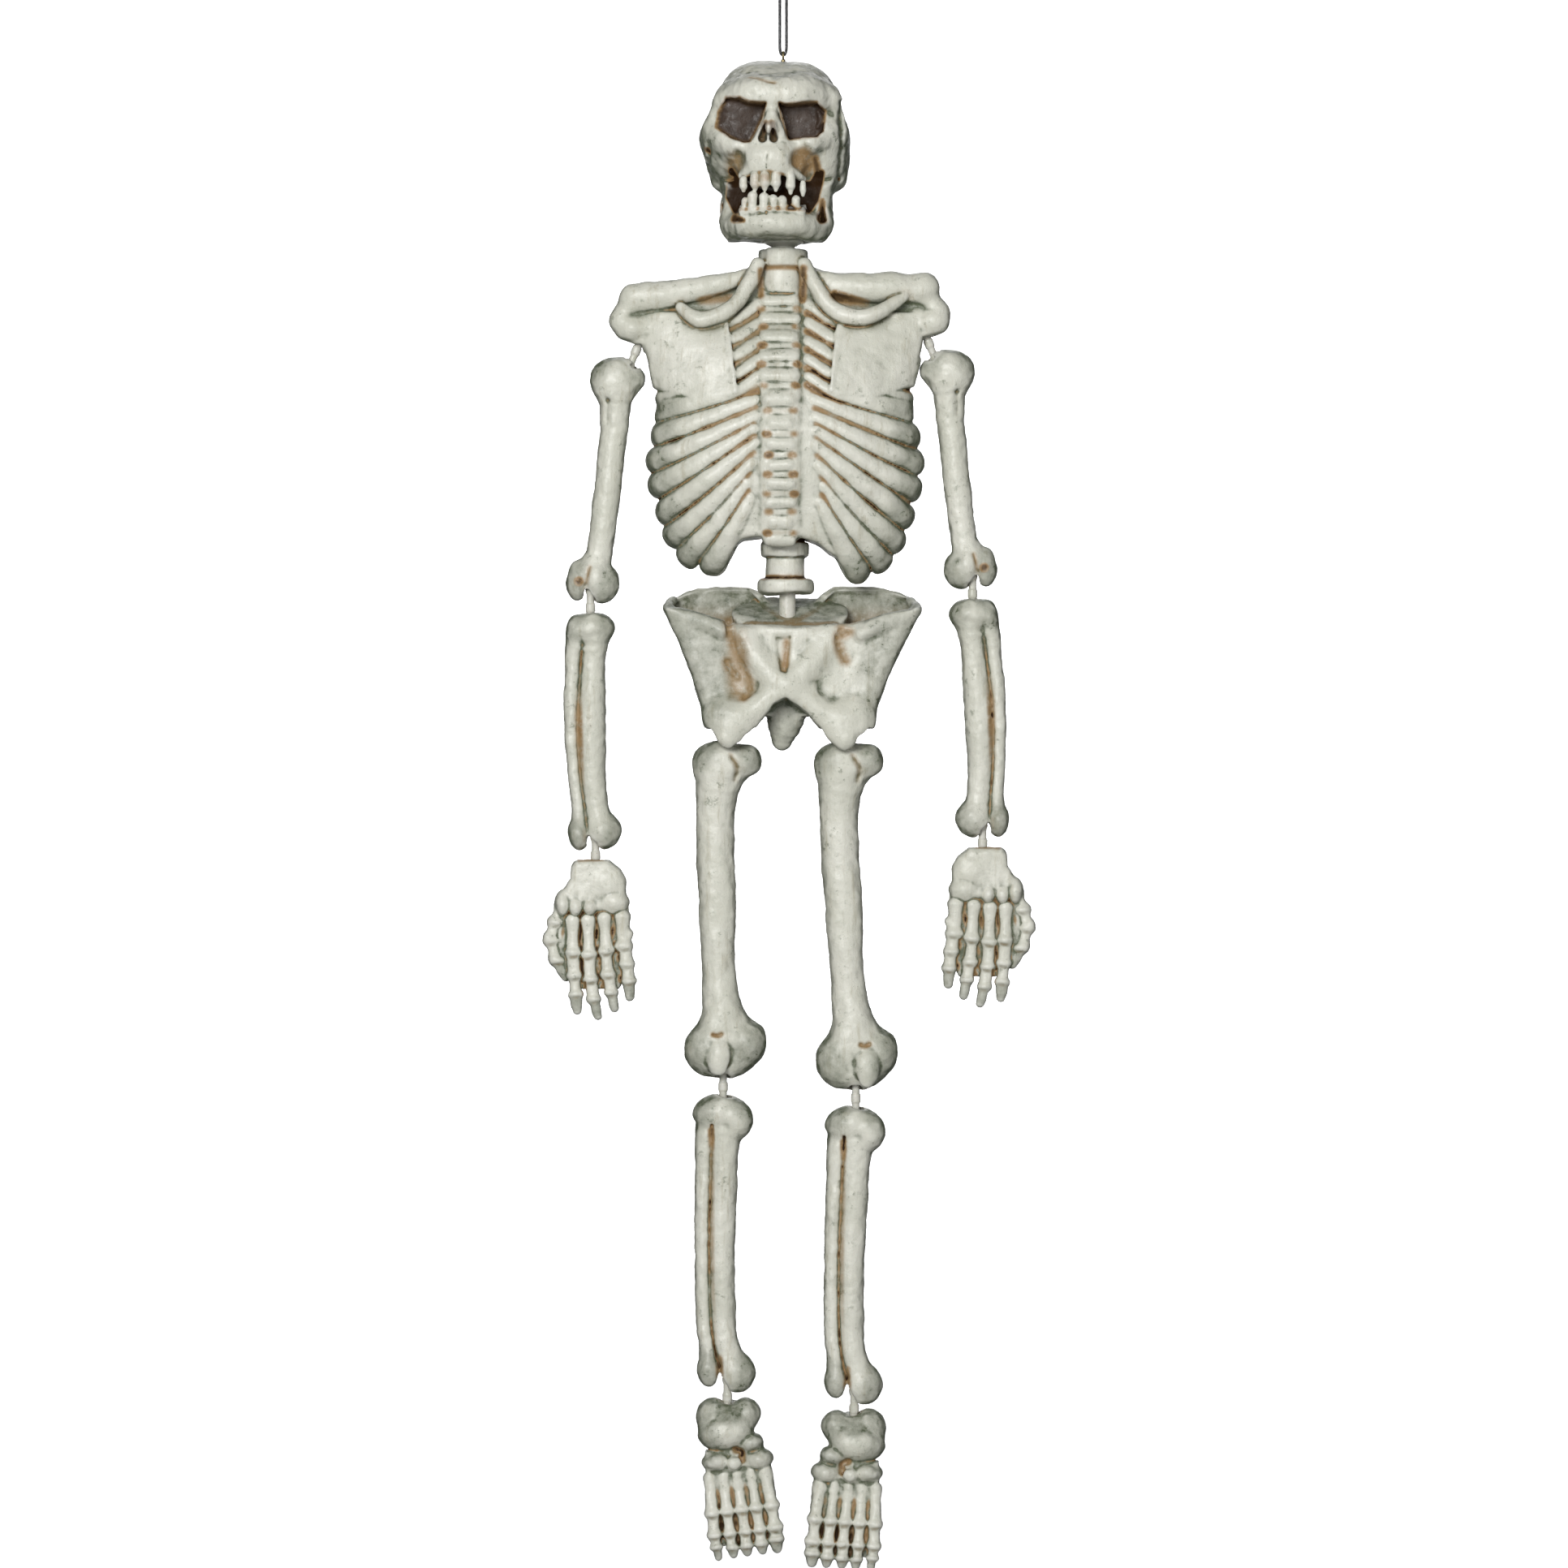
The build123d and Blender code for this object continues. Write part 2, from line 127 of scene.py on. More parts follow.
# ---------------------------------------------------------------- clay
Shape = namedtuple("Shape", "distance low high")
FAR = 9.0  # millimetres; a distance that is certainly outside


class Clay:
    """A block of voxels that holds distances to a surface, and the stains and painted shade on it."""

    def __init__(self, low, high, cell):
        self.cell = cell
        self.low = np.array(low, float)
        self.count = np.ceil((np.array(high) - self.low) / cell).astype(int) + 1
        self.field = np.full(self.count, FAR, np.float32)
        # brown and dark are stains; the third layer is painted shade, a grey-green darkening where
        # shade falls
        self.stains_and_shade = {name: np.zeros(self.count, np.float32) for name in ("brown", "dark", "grime")}

    def window(self, shape, margin):
        """The cells near a shape, and their coordinates."""
        first = np.floor((np.array(shape.low) - margin - self.low) / self.cell).astype(int)
        last = np.ceil((np.array(shape.high) + margin - self.low) / self.cell).astype(int) + 1
        first = np.clip(first, 0, self.count)
        last = np.clip(last, first, self.count)
        place = tuple(slice(a, b) for a, b in zip(first, last))
        axes = [
            (self.low[i] + self.cell * np.arange(first[i], last[i])).astype(np.float32)
            for i in range(3)
        ]
        return place, np.meshgrid(*axes, indexing="ij", sparse=True)

    def add(self, shape, blend=2.0, clean=False):
        """Joins a shape on, with a fillet about as wide as blend; clean wipes stains and painted shade
        off it.
        """
        place, where = self.window(shape, blend + 3)
        distance = shape.distance(*where)
        self.field[place] = smooth_min(self.field[place], distance, blend)
        if clean:
            for stain in self.stains_and_shade.values():
                stain[place] *= np.clip(distance / 1.2, 0, 1)

    def cut(self, shape, blend=1.0, reach=1.5, **stains_and_shade):
        """Takes a shape away, and stains or paints shade on what it leaves."""
        place, where = self.window(shape, blend + 3)
        distance = shape.distance(*where)
        self.field[place] = -smooth_min(-self.field[place], distance, blend)
        self.spread(place, distance, reach, stains_and_shade)

    def tint(self, shape, reach=2.0, **stains_and_shade):
        """Stains the surface in and near a shape, or paints shade there."""
        place, where = self.window(shape, reach + 1)
        self.spread(place, shape.distance(*where), reach, stains_and_shade)

    def spread(self, place, distance, reach, stains_and_shade):
        """Full stain or painted shade inside, fading to none at reach."""
        for name, amount in stains_and_shade.items():
            strength = amount * np.clip(1 - distance / reach, 0, 1)
            self.stains_and_shade[name][place] = np.maximum(self.stains_and_shade[name][place], strength)

    def surface(self, x, z, side=-1):
        """The y of the outermost surface at (x, z), on the front (-1) or the back (1)."""
        column = self.field[
            int(round((x - self.low[0]) / self.cell)), :, int(round((z - self.low[2]) / self.cell))
        ]
        solid = np.nonzero(column < 0)[0]
        if len(solid) == 0:
            return 0.0
        return self.low[1] + self.cell * (solid[0] if side < 0 else solid[-1])

    def on_surface(self, route, sink=0.0, side=-1, steps=5):
        """Points along the (x, z) route at the clay's surface, sunk below it by sink."""
        places = smooth_line(np.array(route, float), steps)
        return [(x, self.surface(x, z, side) - side * sink, z) for x, z in places]

    def roughen(self):
        """Gives the surface the slight unevenness of hand-worked clay."""
        random = np.random.default_rng(7)
        for radius, height in ((1.5, 0.13), (4.5, 0.30)):
            noise = random.standard_normal(self.count).astype(np.float32)
            noise = blur(noise, max(1, round(radius / self.cell)))
            self.field += height * noise / noise.std()

    def mesh(self):
        """(vertices, faces, shades): the surface, with how hollow it is there, how stained, and how
        much painted shade it has.
        """
        grid = openvdb.FloatGrid(FAR)
        grid.copyFromArray(np.clip(self.field, -FAR, FAR))
        points, triangles, quads = grid.convertToPolygons(isovalue=0.0, adaptivity=0.0)
        # How much solid lies round each point; the material paints shade where a point is enclosed and
        # a highlight where it is exposed
        inside = np.clip(0.5 - self.field / self.cell, 0, 1)
        fine = blur(inside, round(1.1 / self.cell))
        wide = blur(inside, round(3.6 / self.cell))
        shades = {
            "hollow": 2 * sample(fine, points) - 1,
            "deep": 2 * sample(wide, points) - 1,
            "brown": sample(self.stains_and_shade["brown"], points),
            "dark": sample(self.stains_and_shade["dark"], points),
            "grime": sample(self.stains_and_shade["grime"], points),
        }
        faces = [tuple(face) for face in quads.tolist()] + [tuple(face) for face in triangles.tolist()]
        return points * self.cell + self.low, faces, shades


def smooth_min(a, b, blend):
    """The smaller distance, with the corner between the two filled in."""
    share = np.clip(0.5 + 0.5 * (a - b) / blend, 0, 1)
    return a + (b - a) * share - blend * share * (1 - share)


def blur(values, radius):
    """Two box averages along each axis."""
    for axis in range(3):
        for _ in range(2):
            pad = [(radius + 1, radius) if i == axis else (0, 0) for i in range(3)]
            total = np.cumsum(np.pad(values, pad, mode="edge"), axis=axis, dtype=np.float32)
            ahead = np.take(total, np.arange(2 * radius + 1, total.shape[axis]), axis=axis)
            behind = np.take(total, np.arange(0, total.shape[axis] - 2 * radius - 1), axis=axis)
            values = (ahead - behind) / (2 * radius + 1)
    return values


def sample(values, points):
    """The grid's values at fractional cell places."""
    base = np.clip(np.floor(points).astype(int), 0, np.array(values.shape) - 2)
    part = points - base
    result = np.zeros(len(points))
    for corner in np.ndindex(2, 2, 2):
        weight = np.prod(np.where(corner, part, 1 - part), axis=1)
        result += weight * values[tuple((base + corner).T)]
    return result


def smooth_line(points, steps):
    """A Catmull-Rom curve through points of any dimension."""
    if len(points) < 3:
        share = np.linspace(0, 1, steps + 1)[:, None]
        return points[0] + share * (points[-1] - points[0])
    padded = np.vstack([2 * points[0] - points[1], points, 2 * points[-1] - points[-2]])
    curve = []
    for a, b, c, d in zip(padded, padded[1:], padded[2:], padded[3:]):
        for t in np.arange(steps) / steps:
            curve.append(
                0.5 * (2 * b + (c - a) * t + (2 * a - 5 * b + 4 * c - d) * t**2
                       + (3 * b - a - 3 * c + d) * t**3)
            )
    return np.array(curve + [points[-1]])


# ---------------------------------------------------------------- shapes
def ball(centre, radii):
    """An ellipsoid."""
    centre = np.array(centre, float)
    radii = np.ones(3) * radii

    def distance(x, y, z):
        near = (x - centre[0], y - centre[1], z - centre[2])
        scaled = np.sqrt(sum((v / r) ** 2 for v, r in zip(near, radii)))
        slope = np.sqrt(sum((v / r**2) ** 2 for v, r in zip(near, radii)))
        return scaled * (scaled - 1) / np.maximum(slope, 1e-4)

    return Shape(distance, centre - radii, centre + radii)


def rod(points, radii, depth=1.0, steps=0):
    """A rounded rod through points, whose radius changes; depth scales it front to back."""
    points = np.array(points, float)
    radii = np.ones(len(points)) * radii
    if steps:
        curve = smooth_line(np.column_stack([points, radii]), steps)
        points, radii = curve[:, :3], curve[:, 3]

    def distance(x, y, z):
        nearest = None
        for a, b, start, end in zip(points, points[1:], radii, radii[1:]):
            run = (b - a) / (1, depth, 1)
            near = (x - a[0], (y - a[1]) / depth, z - a[2])
            share = np.clip(sum(v * r for v, r in zip(near, run)) / (run @ run), 0, 1)
            gap = np.sqrt(sum((v - share * r) ** 2 for v, r in zip(near, run)))
            here = gap - (start + share * (end - start))
            nearest = here if nearest is None else np.minimum(nearest, here)
        return nearest * min(depth, 1.0)

    reach = np.max(radii) * np.array([1, depth, 1])
    return Shape(distance, points.min(0) - reach, points.max(0) + reach)


def flat_distance(outline, x, z):
    """Distance from an outline in (x, z), negative inside."""
    nearest = None
    inside = np.zeros(np.broadcast(x, z).shape, bool)
    for (ax, az), (bx, bz) in zip(outline, outline[1:] + outline[:1]):
        run_x, run_z = bx - ax, bz - az
        share = np.clip(((x - ax) * run_x + (z - az) * run_z) / (run_x**2 + run_z**2), 0, 1)
        gap = np.hypot(x - ax - share * run_x, z - az - share * run_z)
        nearest = gap if nearest is None else np.minimum(nearest, gap)
        if run_z:
            crossing = ((az > z) != (bz > z)) & (x < ax + run_x * (z - az) / run_z)
            inside = inside ^ crossing
    return np.where(inside, -nearest, nearest)


def slab(outline, front, back, corner=1.5, soft=0.0):
    """An (x, z) outline, widened by soft, extruded from front to back, with rounded edges."""
    middle = (front + back) / 2
    half = (back - front) / 2

    def distance(x, y, z):
        across = flat_distance(outline, x, z) + corner - soft
        along = np.abs(y - middle) - half + corner
        outside = np.hypot(np.maximum(across, 0), np.maximum(along, 0))
        return outside + np.minimum(np.maximum(across, along), 0) - corner

    xs, zs = zip(*outline)
    low = (min(xs) - soft, front, min(zs) - soft)
    high = (max(xs) + soft, back, max(zs) + soft)
    return Shape(distance, low, high)


def drum(x, top, bottom, radius, corner=1.5, y=0.0):
    """An upright cylinder with rounded edges."""
    middle = (top + bottom) / 2
    half = (top - bottom) / 2

    def distance(px, py, pz):
        across = np.hypot(px - x, py - y) - radius + corner
        along = np.abs(pz - middle) - half + corner
        outside = np.hypot(np.maximum(across, 0), np.maximum(along, 0))
        return outside + np.minimum(np.maximum(across, along), 0) - corner

    return Shape(distance, (x - radius, y - radius, bottom), (x + radius, y + radius, top))


def pin_well(clay, hole, inward):
    """A waisted hole that lets a pin lean, and the hollow round the pin's head."""
    hole = np.array(hole, float)
    inward = np.array(inward, float)
    waist = [hole - 4 * inward, hole, hole + 5 * inward]
    # brown stain and painted shade inside the hole
    clay.cut(rod(waist, (5.6, PIN_HOLE, 5.8)), 0.6, 3.0, brown=0.2, grime=0.6)
    clay.cut(ball(hole + PIN_REACH * inward, PIN_WELL), 0.4)


# ---------------------------------------------------------------- rib cage surface
# The smooth barrel under the ribs: (z, half width, half depth).
BARREL = np.array([
    (-196, 70, 6), (-206, 84, 9), (-217, 89, 13), (-227, 84, 19), (-238, 79, 24), (-257, 75, 29),
    (-268, 74, 31), (-281, 77, 33), (-297, 80, 33), (-313, 79, 32), (-329, 75, 29), (-344, 70, 25),
    (-358, 62, 19), (-372, 48, 13),
], float)[::-1]


def barrel(x, y, z):
    """Distance from the barrel, negative inside."""
    half_width = np.interp(z, BARREL[:, 0], BARREL[:, 1])
    half_depth = np.interp(z, BARREL[:, 0], BARREL[:, 2])
    across = x - TORSO_MIDDLE
    scaled = np.sqrt((across / half_width) ** 2 + (y / half_depth) ** 2)
    slope = np.sqrt((across / half_width**2) ** 2 + (y / half_depth**2) ** 2)
    return scaled * (scaled - 1) / np.maximum(slope, 1e-4)


def laid_rod(route, radii, rise, side=0):
    """A rounded rod that follows an (x, z) route over the barrel, on one side or on both."""
    points = np.array(route, float)
    curve = smooth_line(np.column_stack([points, np.ones(len(points)) * radii]), 4)
    points, radii = curve[:, :2], curve[:, 2]

    def distance(x, y, z):
        lift = barrel(x, y, z) - rise
        nearest = None
        for a, b, start, end in zip(points, points[1:], radii, radii[1:]):
            run = b - a
            share = np.clip(((x - a[0]) * run[0] + (z - a[1]) * run[1]) / (run @ run), 0, 1)
            gap = np.hypot(x - a[0] - share * run[0], z - a[1] - share * run[1])
            here = np.hypot(gap, lift) - (start + share * (end - start))
            nearest = here if nearest is None else np.minimum(nearest, here)
        return one_side(nearest, y, side)

    reach = np.max(radii)
    low, high = points.min(0) - reach, points.max(0) + reach
    return Shape(distance, (low[0], -50, low[1]), (high[0], 50, high[1]))


def laid_slab(outline, rise, side, corner=1.2):
    """Everything in an (x, z) outline up to rise above the barrel."""

    def distance(x, y, z):
        across = flat_distance(outline, x, z) + corner
        along = barrel(x, y, z) - rise + corner
        outside = np.hypot(np.maximum(across, 0), np.maximum(along, 0))
        solid = outside + np.minimum(np.maximum(across, along), 0) - corner
        return one_side(solid, y, side)

    xs, zs = zip(*outline)
    return Shape(distance, (min(xs), -50, min(zs)), (max(xs), 50, max(zs)))


def one_side(distance, y, side):
    """Keeps a shape to the front (-1) or back (1), or leaves it on both (0)."""
    return distance if side == 0 else np.maximum(distance, -side * y)


def box_outline(left, right, top, bottom):
    """A rectangle as an outline."""
    return [(left, top), (right, top), (right, bottom), (left, bottom)]


def other_side(route, middle, drop=1.0, top=0.0):
    """Mirrors an (x, z) route about middle; drop stretches it downwards from top."""
    return [(2 * middle - x, top + drop * (z - top)) for x, z in route]


# ---------------------------------------------------------------- torso
RIBS = [  # those of the right side: (x, z) from the outer end to the spine
    [(-70, -267), (-44, -262), (-15, -253)],
    [(-74, -282), (-54, -276), (-16, -263)],
    [(-77, -297.5), (-55, -290), (-17, -273)],
    [(-75.5, -313), (-50, -300), (-18, -281)],
    [(-71, -329), (-43, -309), (-17, -289)],
    [(-66, -343.5), (-43, -325), (-19, -301)],
    [(-57.5, -355.5), (-41, -337), (-22, -313)],
    [(-42, -359.5), (-33, -345), (-20, -322)],
]
LEFT_RIBS = (TORSO_MIDDLE, 1.045, -262)  # how other_side mirrors them, a little longer
UPPER_RIB_TOPS = (-205, -216, -227.5, -239, -249)
SPINE_NOTCHES = (
    -208, -219, -230.5, -242, -255, -270, -284, -296.5, -308, -319.5, -330, -342.5,
)


def sculpt_torso():
    """Neck collar, clavicles, shoulder plates, ribs and spine."""
    clay = Clay((-110, -46, -381), (112, 46, -168), 0.9)
    core = [
        (-84, -212), (-74, -262), (-73, -325), (-56, -347), (-42, -356), (-33, -352), (-24, -345.5),
        (-10, -344), (12, -345), (20, -348), (30, -355), (42, -361), (60, -350), (76, -328),
        (77, -262), (86, -212), (60, -200), (-58, -200),
    ]
    clay.add(laid_slab(core, 0.5, 0, 3.0), 2)
    for rib in RIBS:
        for route in (rib, other_side(rib, *LEFT_RIBS)):
            add_rib(clay, route)
    for above, below in zip(RIBS, RIBS[1:]):
        groove = [((a[0] + b[0]) / 2, (a[1] + b[1]) / 2) for a, b in zip(above, below)]
        for route in (groove, other_side(groove, *LEFT_RIBS)):
            clay.tint(laid_rod(route, (0.2, 0.9, 1.1), -1.0, -1), 2.2, brown=0.7)
    for top in UPPER_RIB_TOPS:
        upper = [(-74, top - 22), (-33, top - 11), (-15, top)]
        groove = [(-34, top - 16.5), (-14, top - 5.5)]
        for route in (upper, other_side(upper, TORSO_MIDDLE - 1)):
            clay.add(laid_rod(route, (5.0, 4.2, 3.6), -0.6), 0.8)
        for route, brown in ((groove, 0.35), (other_side(groove, TORSO_MIDDLE - 1), 0.75)):
            clay.tint(laid_rod(route, 1.2, 0, -1), brown=brown, reach=2.2)
    add_plates(clay)
    add_spine(clay)
    add_breastbone(clay)
    add_shoulders(clay)
    add_neck_and_waist(clay)
    clay.roughen()
    return clay


def add_rib(clay, rib):
    """A rib that wraps round from the front to the back."""
    clay.add(laid_rod(rib, (8.1, 6.6, 4.4), -2.4), 0.7)
    x, z = rib[0]
    # painted shade on the rib's outer end, at the side of the cage
    clay.tint(laid_rod([(x, z), (0.96 * x, z)], 5.0, 0.0), 7.0, grime=0.6)


def add_plates(clay):
    """The smooth plate over the upper ribs of each side."""
    plate = [
        (-91, -209), (-36, -210), (-33.5, -220), (-31.5, -234), (-28.5, -258), (-31, -261.5),
        (-55, -262.5), (-70, -257.5), (-79, -255), (-81, -245), (-83, -234), (-86, -228), (-93, -223),
    ]
    for outline in (plate, other_side(plate, TORSO_MIDDLE - 1.2, 0.985, -211)):
        clay.add(laid_slab(outline, 4.6, -1, 2.4), 1.2)
        clay.add(laid_rod(outline[1:5], 1.3, 3.9, -1), 1.6)
        below_edge = [(x, z - 2.5) for x, z in outline[7:9]]
        clay.tint(laid_rod(below_edge, 1.2, 1.0, -1), brown=0.8, reach=1.6)


def add_spine(clay):
    """A stack of rounded vertebrae with a narrower, stained block in each gap."""
    clay.add(laid_slab(box_outline(-14, 9.5, -196, -262), 2.8, -1, 2.2), 1.5)
    clay.add(laid_slab(box_outline(-12, 8.5, -258, -347), 2.2, -1, 2.0), 3.5)
    edges = (-197,) + SPINE_NOTCHES + (-352,)
    for index, (z, below) in enumerate(zip(edges, edges[1:])):
        high_up = z > -262
        wide = (12.4 if high_up else 9.8) + 0.7 * sin(2.1 * index)
        middle = -2.2 if high_up else -1.6
        radius = (z - below) / 2 - 1.5
        bar = [(middle - wide + radius, (z + below) / 2 + 0.5 * sin(3.7 * index)),
               (middle + wide - radius, (z + below) / 2)]
        clay.add(laid_rod(bar, radius, 5.2 - radius if high_up else 4.4 - radius, -1), 0.9)
        if index:
            seam = laid_rod([(middle - wide + 2, z), (middle + wide - 2, z)], 0.9, 2.6, -1)
            clay.tint(seam, 1.6, brown=0.5)
            stub = box_outline(middle - wide + 4.6, middle + wide - 4.4, z + 1.8, z - 1.8)
            clay.add(laid_slab(stub, 3.3 if high_up else 2.9, -1, 1.2), 0.6, True)
            for side, amount in ((-1, 0.55), (1, 0.5)):
                x = middle + side * (wide - 2.2)
                clay.tint(ball((x, clay.surface(x, z), z), (2.2, 2.4, 1.4)), 2.0,
                          brown=amount + 0.2 * sin(5 * index + side))


def add_breastbone(clay):
    """The breastbone on the far side, which the ribs run into."""
    left = TORSO_MIDDLE - 9
    right = TORSO_MIDDLE + 9
    clay.add(laid_slab(box_outline(left - 5, right + 5, -203, -222), 5.4, 1, 3.5), 2.0)
    clay.add(laid_slab(box_outline(left, right, -218, -292), 5.0, 1, 3.5), 2.0)
    clay.add(laid_rod([(TORSO_MIDDLE, -288), (TORSO_MIDDLE, -312)], (6.5, 3.0), 1.0, 1), 2.0)
    for z in (-223, -240, -257, -274, -290):
        clay.cut(laid_rod([(left - 1, z), (right + 1, z)], 0.9, 5.3, 1), 0.8, brown=0.4)


def add_shoulders(clay):
    """Collar bones, the curved bands below them, and the knobs that the arms hang from."""
    left_bar = [(-89, -6, -201.5), (-62, -8, -197.5), (-38, -9, -193), (-20, -8, -187)]
    right_bar = [(84, -6, -195), (60, -8, -195), (36, -9, -194.5), (20, -8, -188.5)]
    behind = [(-92, -198), (-22, -184), (-12, -180), (13, -180), (24, -184), (88, -192), (92, -216),
              (-92, -218)]
    clay.add(slab(behind, -7, 9, 3), 2.0)
    clay.add(rod(left_bar, (9.2, 8.2, 6.0, 4.0), 0.85, 4), 2.0)
    clay.add(rod(right_bar, (9.6, 9.4, 8.0, 4.4), 0.85, 4), 2.0)
    clay.add(rod([(-97, -4, -214), (-92, -4, -205)], (7.5, 6.5)), 3.0)
    clay.add(rod([(93, -4, -210), (87, -4, -202)], (7.5, 6.5)), 3.0)
    left_band = [
        (-15, -11, -181), (-20, -13, -192), (-28, -15.5, -204), (-38, -17.5, -212),
        (-50, -17.5, -214.5), (-61, -14, -207),
    ]
    right_band = [
        (13, -11, -181), (18.5, -13, -193), (27, -15.5, -206), (41, -17.5, -213),
        (56, -18, -211), (72, -13, -201),
    ]
    left_pit = [(-50, -15, -204), (-31, -15, -200.5)]
    right_pit = [(50, -15, -205.5), (31, -15, -201)]
    thickness = (4.4, 4.6, 4.8, 5.0, 4.8, 3.0)
    for band, pit in ((left_band, left_pit), (right_band, right_pit)):
        clay.add(rod(band, thickness, 1.0, 4), 1.2)
        clay.cut(rod(pit, (1.6, 2.8), 2.2), 1.2, brown=0.8, reach=2.5)
        clay.tint(rod(band, thickness, 0.8, 4), brown=0.22, reach=4.0)
        clay.add(rod(band, (4.0, 4.3, 4.5, 4.7, 4.5, 2.6), 1.05, 4), 0.5, True)
    for name, side in SIDES.items():
        x, z = JOINTS[name + "_shoulder_lift"]
        clay.add(ball((x + side * 3.5, -3, z + 9), (10, 11, 8.5)), 3.5)
        inward = (-side * sin(SHOULDER_SLANT), 0, cos(SHOULDER_SLANT))
        top = (x + 12 * inward[0], 0, z + 12 * inward[2])
        clay.add(rod([top, (x + 1.5 * inward[0], 0, z + 1.5 * inward[2])], (9.5, 8.0)), 2.0)
        notch = [(x - side * 2.0, z - 0.4), (x + side * 16, z + 4), (x + side * 16, z - 14),
                 (x - side * 4.5, z - 12)]
        clay.cut(slab(notch, -14, 14, 2.0), 2.0)
        pin_well(clay, (x, 0, z), inward)
        below = (x - 8 * inward[0], 0, z - 8 * inward[2])
        clay.cut(rod([(x, 0, z), below], (4.0, 7.5)), 0.6)


def add_neck_and_waist(clay):
    """The ringed columns that the neck plug and the waist pin plug into."""
    clay.add(drum(-1, -178, -215, 10.6, 1.0), 1.5)
    clay.add(drum(0, -171.4, -182.2, 15.0, 2.2), 0.8)
    clay.add(drum(-0.6, -181, -198, 12.6, 1.5), 0.8)
    # Brown bars down both sides of the neck column: painted shade between the column and the bands.
    clay.tint(rod([(-13.6, -12, -185), (-13.2, -11, -200)], 0.8, 5), brown=0.6, reach=2.2)
    clay.tint(rod([(12.2, -12, -184), (11.6, -11, -202)], 1.0, 5), brown=0.8, reach=2.5)
    clay.add(drum(WAIST_MIDDLE - 1, -335, -378, 11.6, 0.8), 1.0)
    clay.add(drum(WAIST_MIDDLE - 1.5, -346.5, -356, 14.6, 2.0), 0.6)
    clay.add(drum(WAIST_MIDDLE - 1, -368.8, -378, 17.0, 3.0), 0.6)
    clay.tint(drum(WAIST_MIDDLE - 1, -344.6, -346.4, 15.0, 0.5), brown=0.9, reach=1.5)
    clay.tint(drum(WAIST_MIDDLE - 1, -367.6, -369.2, 15.0, 0.5), brown=0.9, reach=1.5)
    clay.tint(drum(-0.6, -182.4, -184, 15.0, 0.5), brown=0.5, reach=1.5)
    clay.cut(rod([(0, 0, -165), (0, 0, -171.3), (0, 0, -182.8)], (9.2, 8.2, 10.9)), 0.5, brown=0.4)
    hole = [(WAIST_MIDDLE, 0, z) for z in (-381, -377, -366.1)]
    clay.cut(rod(hole, (7.6, 6.8, 10.5)), 0.5, brown=0.5)


# ---------------------------------------------------------------- skull
UPPER_TEETH = [  # (x, z of the tip, half width)
    (-23.6, -141.0, 2.2), (-16.6, -140.5, 2.7), (-10.8, -140.3, 2.9), (-4.3, -141.0, 3.0),
    (4.3, -142.2, 2.9), (11.8, -143.6, 2.1),
]
LOWER_TEETH = [
    (-22.8, -144.2, 1.9), (-18.0, -141.4, 2.9), (-11.4, -142.6, 3.1), (-5.8, -143.2, 2.6),
    (-0.6, -143.8, 2.6), (7.7, -143.6, 2.4),
]


def sculpt_skull():
    """Cranium, face, jaw and teeth."""
    clay = Clay((-54, -54, -171), (46, 64, -55), 0.66)
    add_cranium(clay)
    add_cheeks_and_jaw(clay)
    cut_eyes(clay)
    add_nose(clay)
    cut_mouth(clay)
    add_teeth(clay)
    cut_skull_hollows(clay)
    clay.roughen()
    return clay


def add_cranium(clay):
    """A broad, flat-topped head."""
    middle = SKULL_MIDDLE + 0.6
    clay.add(rod([(middle - 11, 7, -84), (middle + 11, 7, -84)], 25.6, 1.85), 3)
    clay.add(ball((middle, 14, -101), (37.5, 44, 36)), 6)
    clay.add(rod([(-34, -22, -83), (-20, -34.5, -82), (-6, -39, -83), (10, -36, -82), (27, -22, -82)],
                 (6, 7.0, 6.5, 7.0, 6), 1.0, 4), 10)
    clay.add(rod([(-35, -24, -84), (-39, -19, -92), (-41.5, -16, -101)], (4.5, 5.0, 6.0), 1.0, 3), 5)
    clay.add(rod([(28, -24, -84), (31.5, -19, -92), (31.5, -16, -101)], (4.5, 5.0, 6.0), 1.0, 3), 5)
    clay.add(ball((middle - 2, -16, -104), (34, 22, 26)), 5)


def add_cheeks_and_jaw(clay):
    """Cheekbones, upper jaw, and the boxy lower jaw."""
    clay.add(ball((-29.5, 0, -111), (18.6, 27, 23)), 9)
    clay.add(ball((22.5, 0, -112), (16.4, 28, 26)), 9)
    clay.add(rod([(-41, 10, -104), (-40.5, -8, -104), (-37, -22, -107.5), (-27, -32, -113)],
                 (7, 7.4, 6.6, 6.0), 1.0, 4), 7)
    clay.add(rod([(31, 12, -102), (31, -6, -101), (27, -23, -103.5), (16, -34, -111)],
                 (7, 6.8, 6.6, 5.6), 1.0, 4), 7)
    clay.add(rod([(-37, 8, -118), (-36, 4, -129)], (8, 7.6)), 5)
    clay.add(rod([(30.5, 8, -112), (31, 4, -128)], (8, 7.8)), 5)
    clay.add(ball((-7.5, -26, -121), (21, 20, 17)), 4)
    clay.add(ball((SKULL_MIDDLE, 6, -132), (30, 34, 30)), 5)
    side_of_jaw = [
        (-35.5, -132), (-36.6, -146), (-37.4, -156), (-33.5, -166.5), (24, -167), (29.6, -158),
        (28.6, -147), (30, -132),
    ]
    clay.add(slab(side_of_jaw, -22, 14, 6), 3)
    jaw = [
        (-31, -4, -146), (-28.8, -16, -157.6), (-20, -31, -159), (-6, -36.5, -159),
        (8, -33, -159), (20.8, -17, -158.6), (23, -4, -146),
    ]
    clay.add(rod(jaw, (6.4, 8.6, 8.4, 8.2, 8.4, 8.8, 6.4), 1.0, 3), 3)
    clay.add(slab(box_outline(-26, 14, -147, -163), -38, -10, 5), 3)


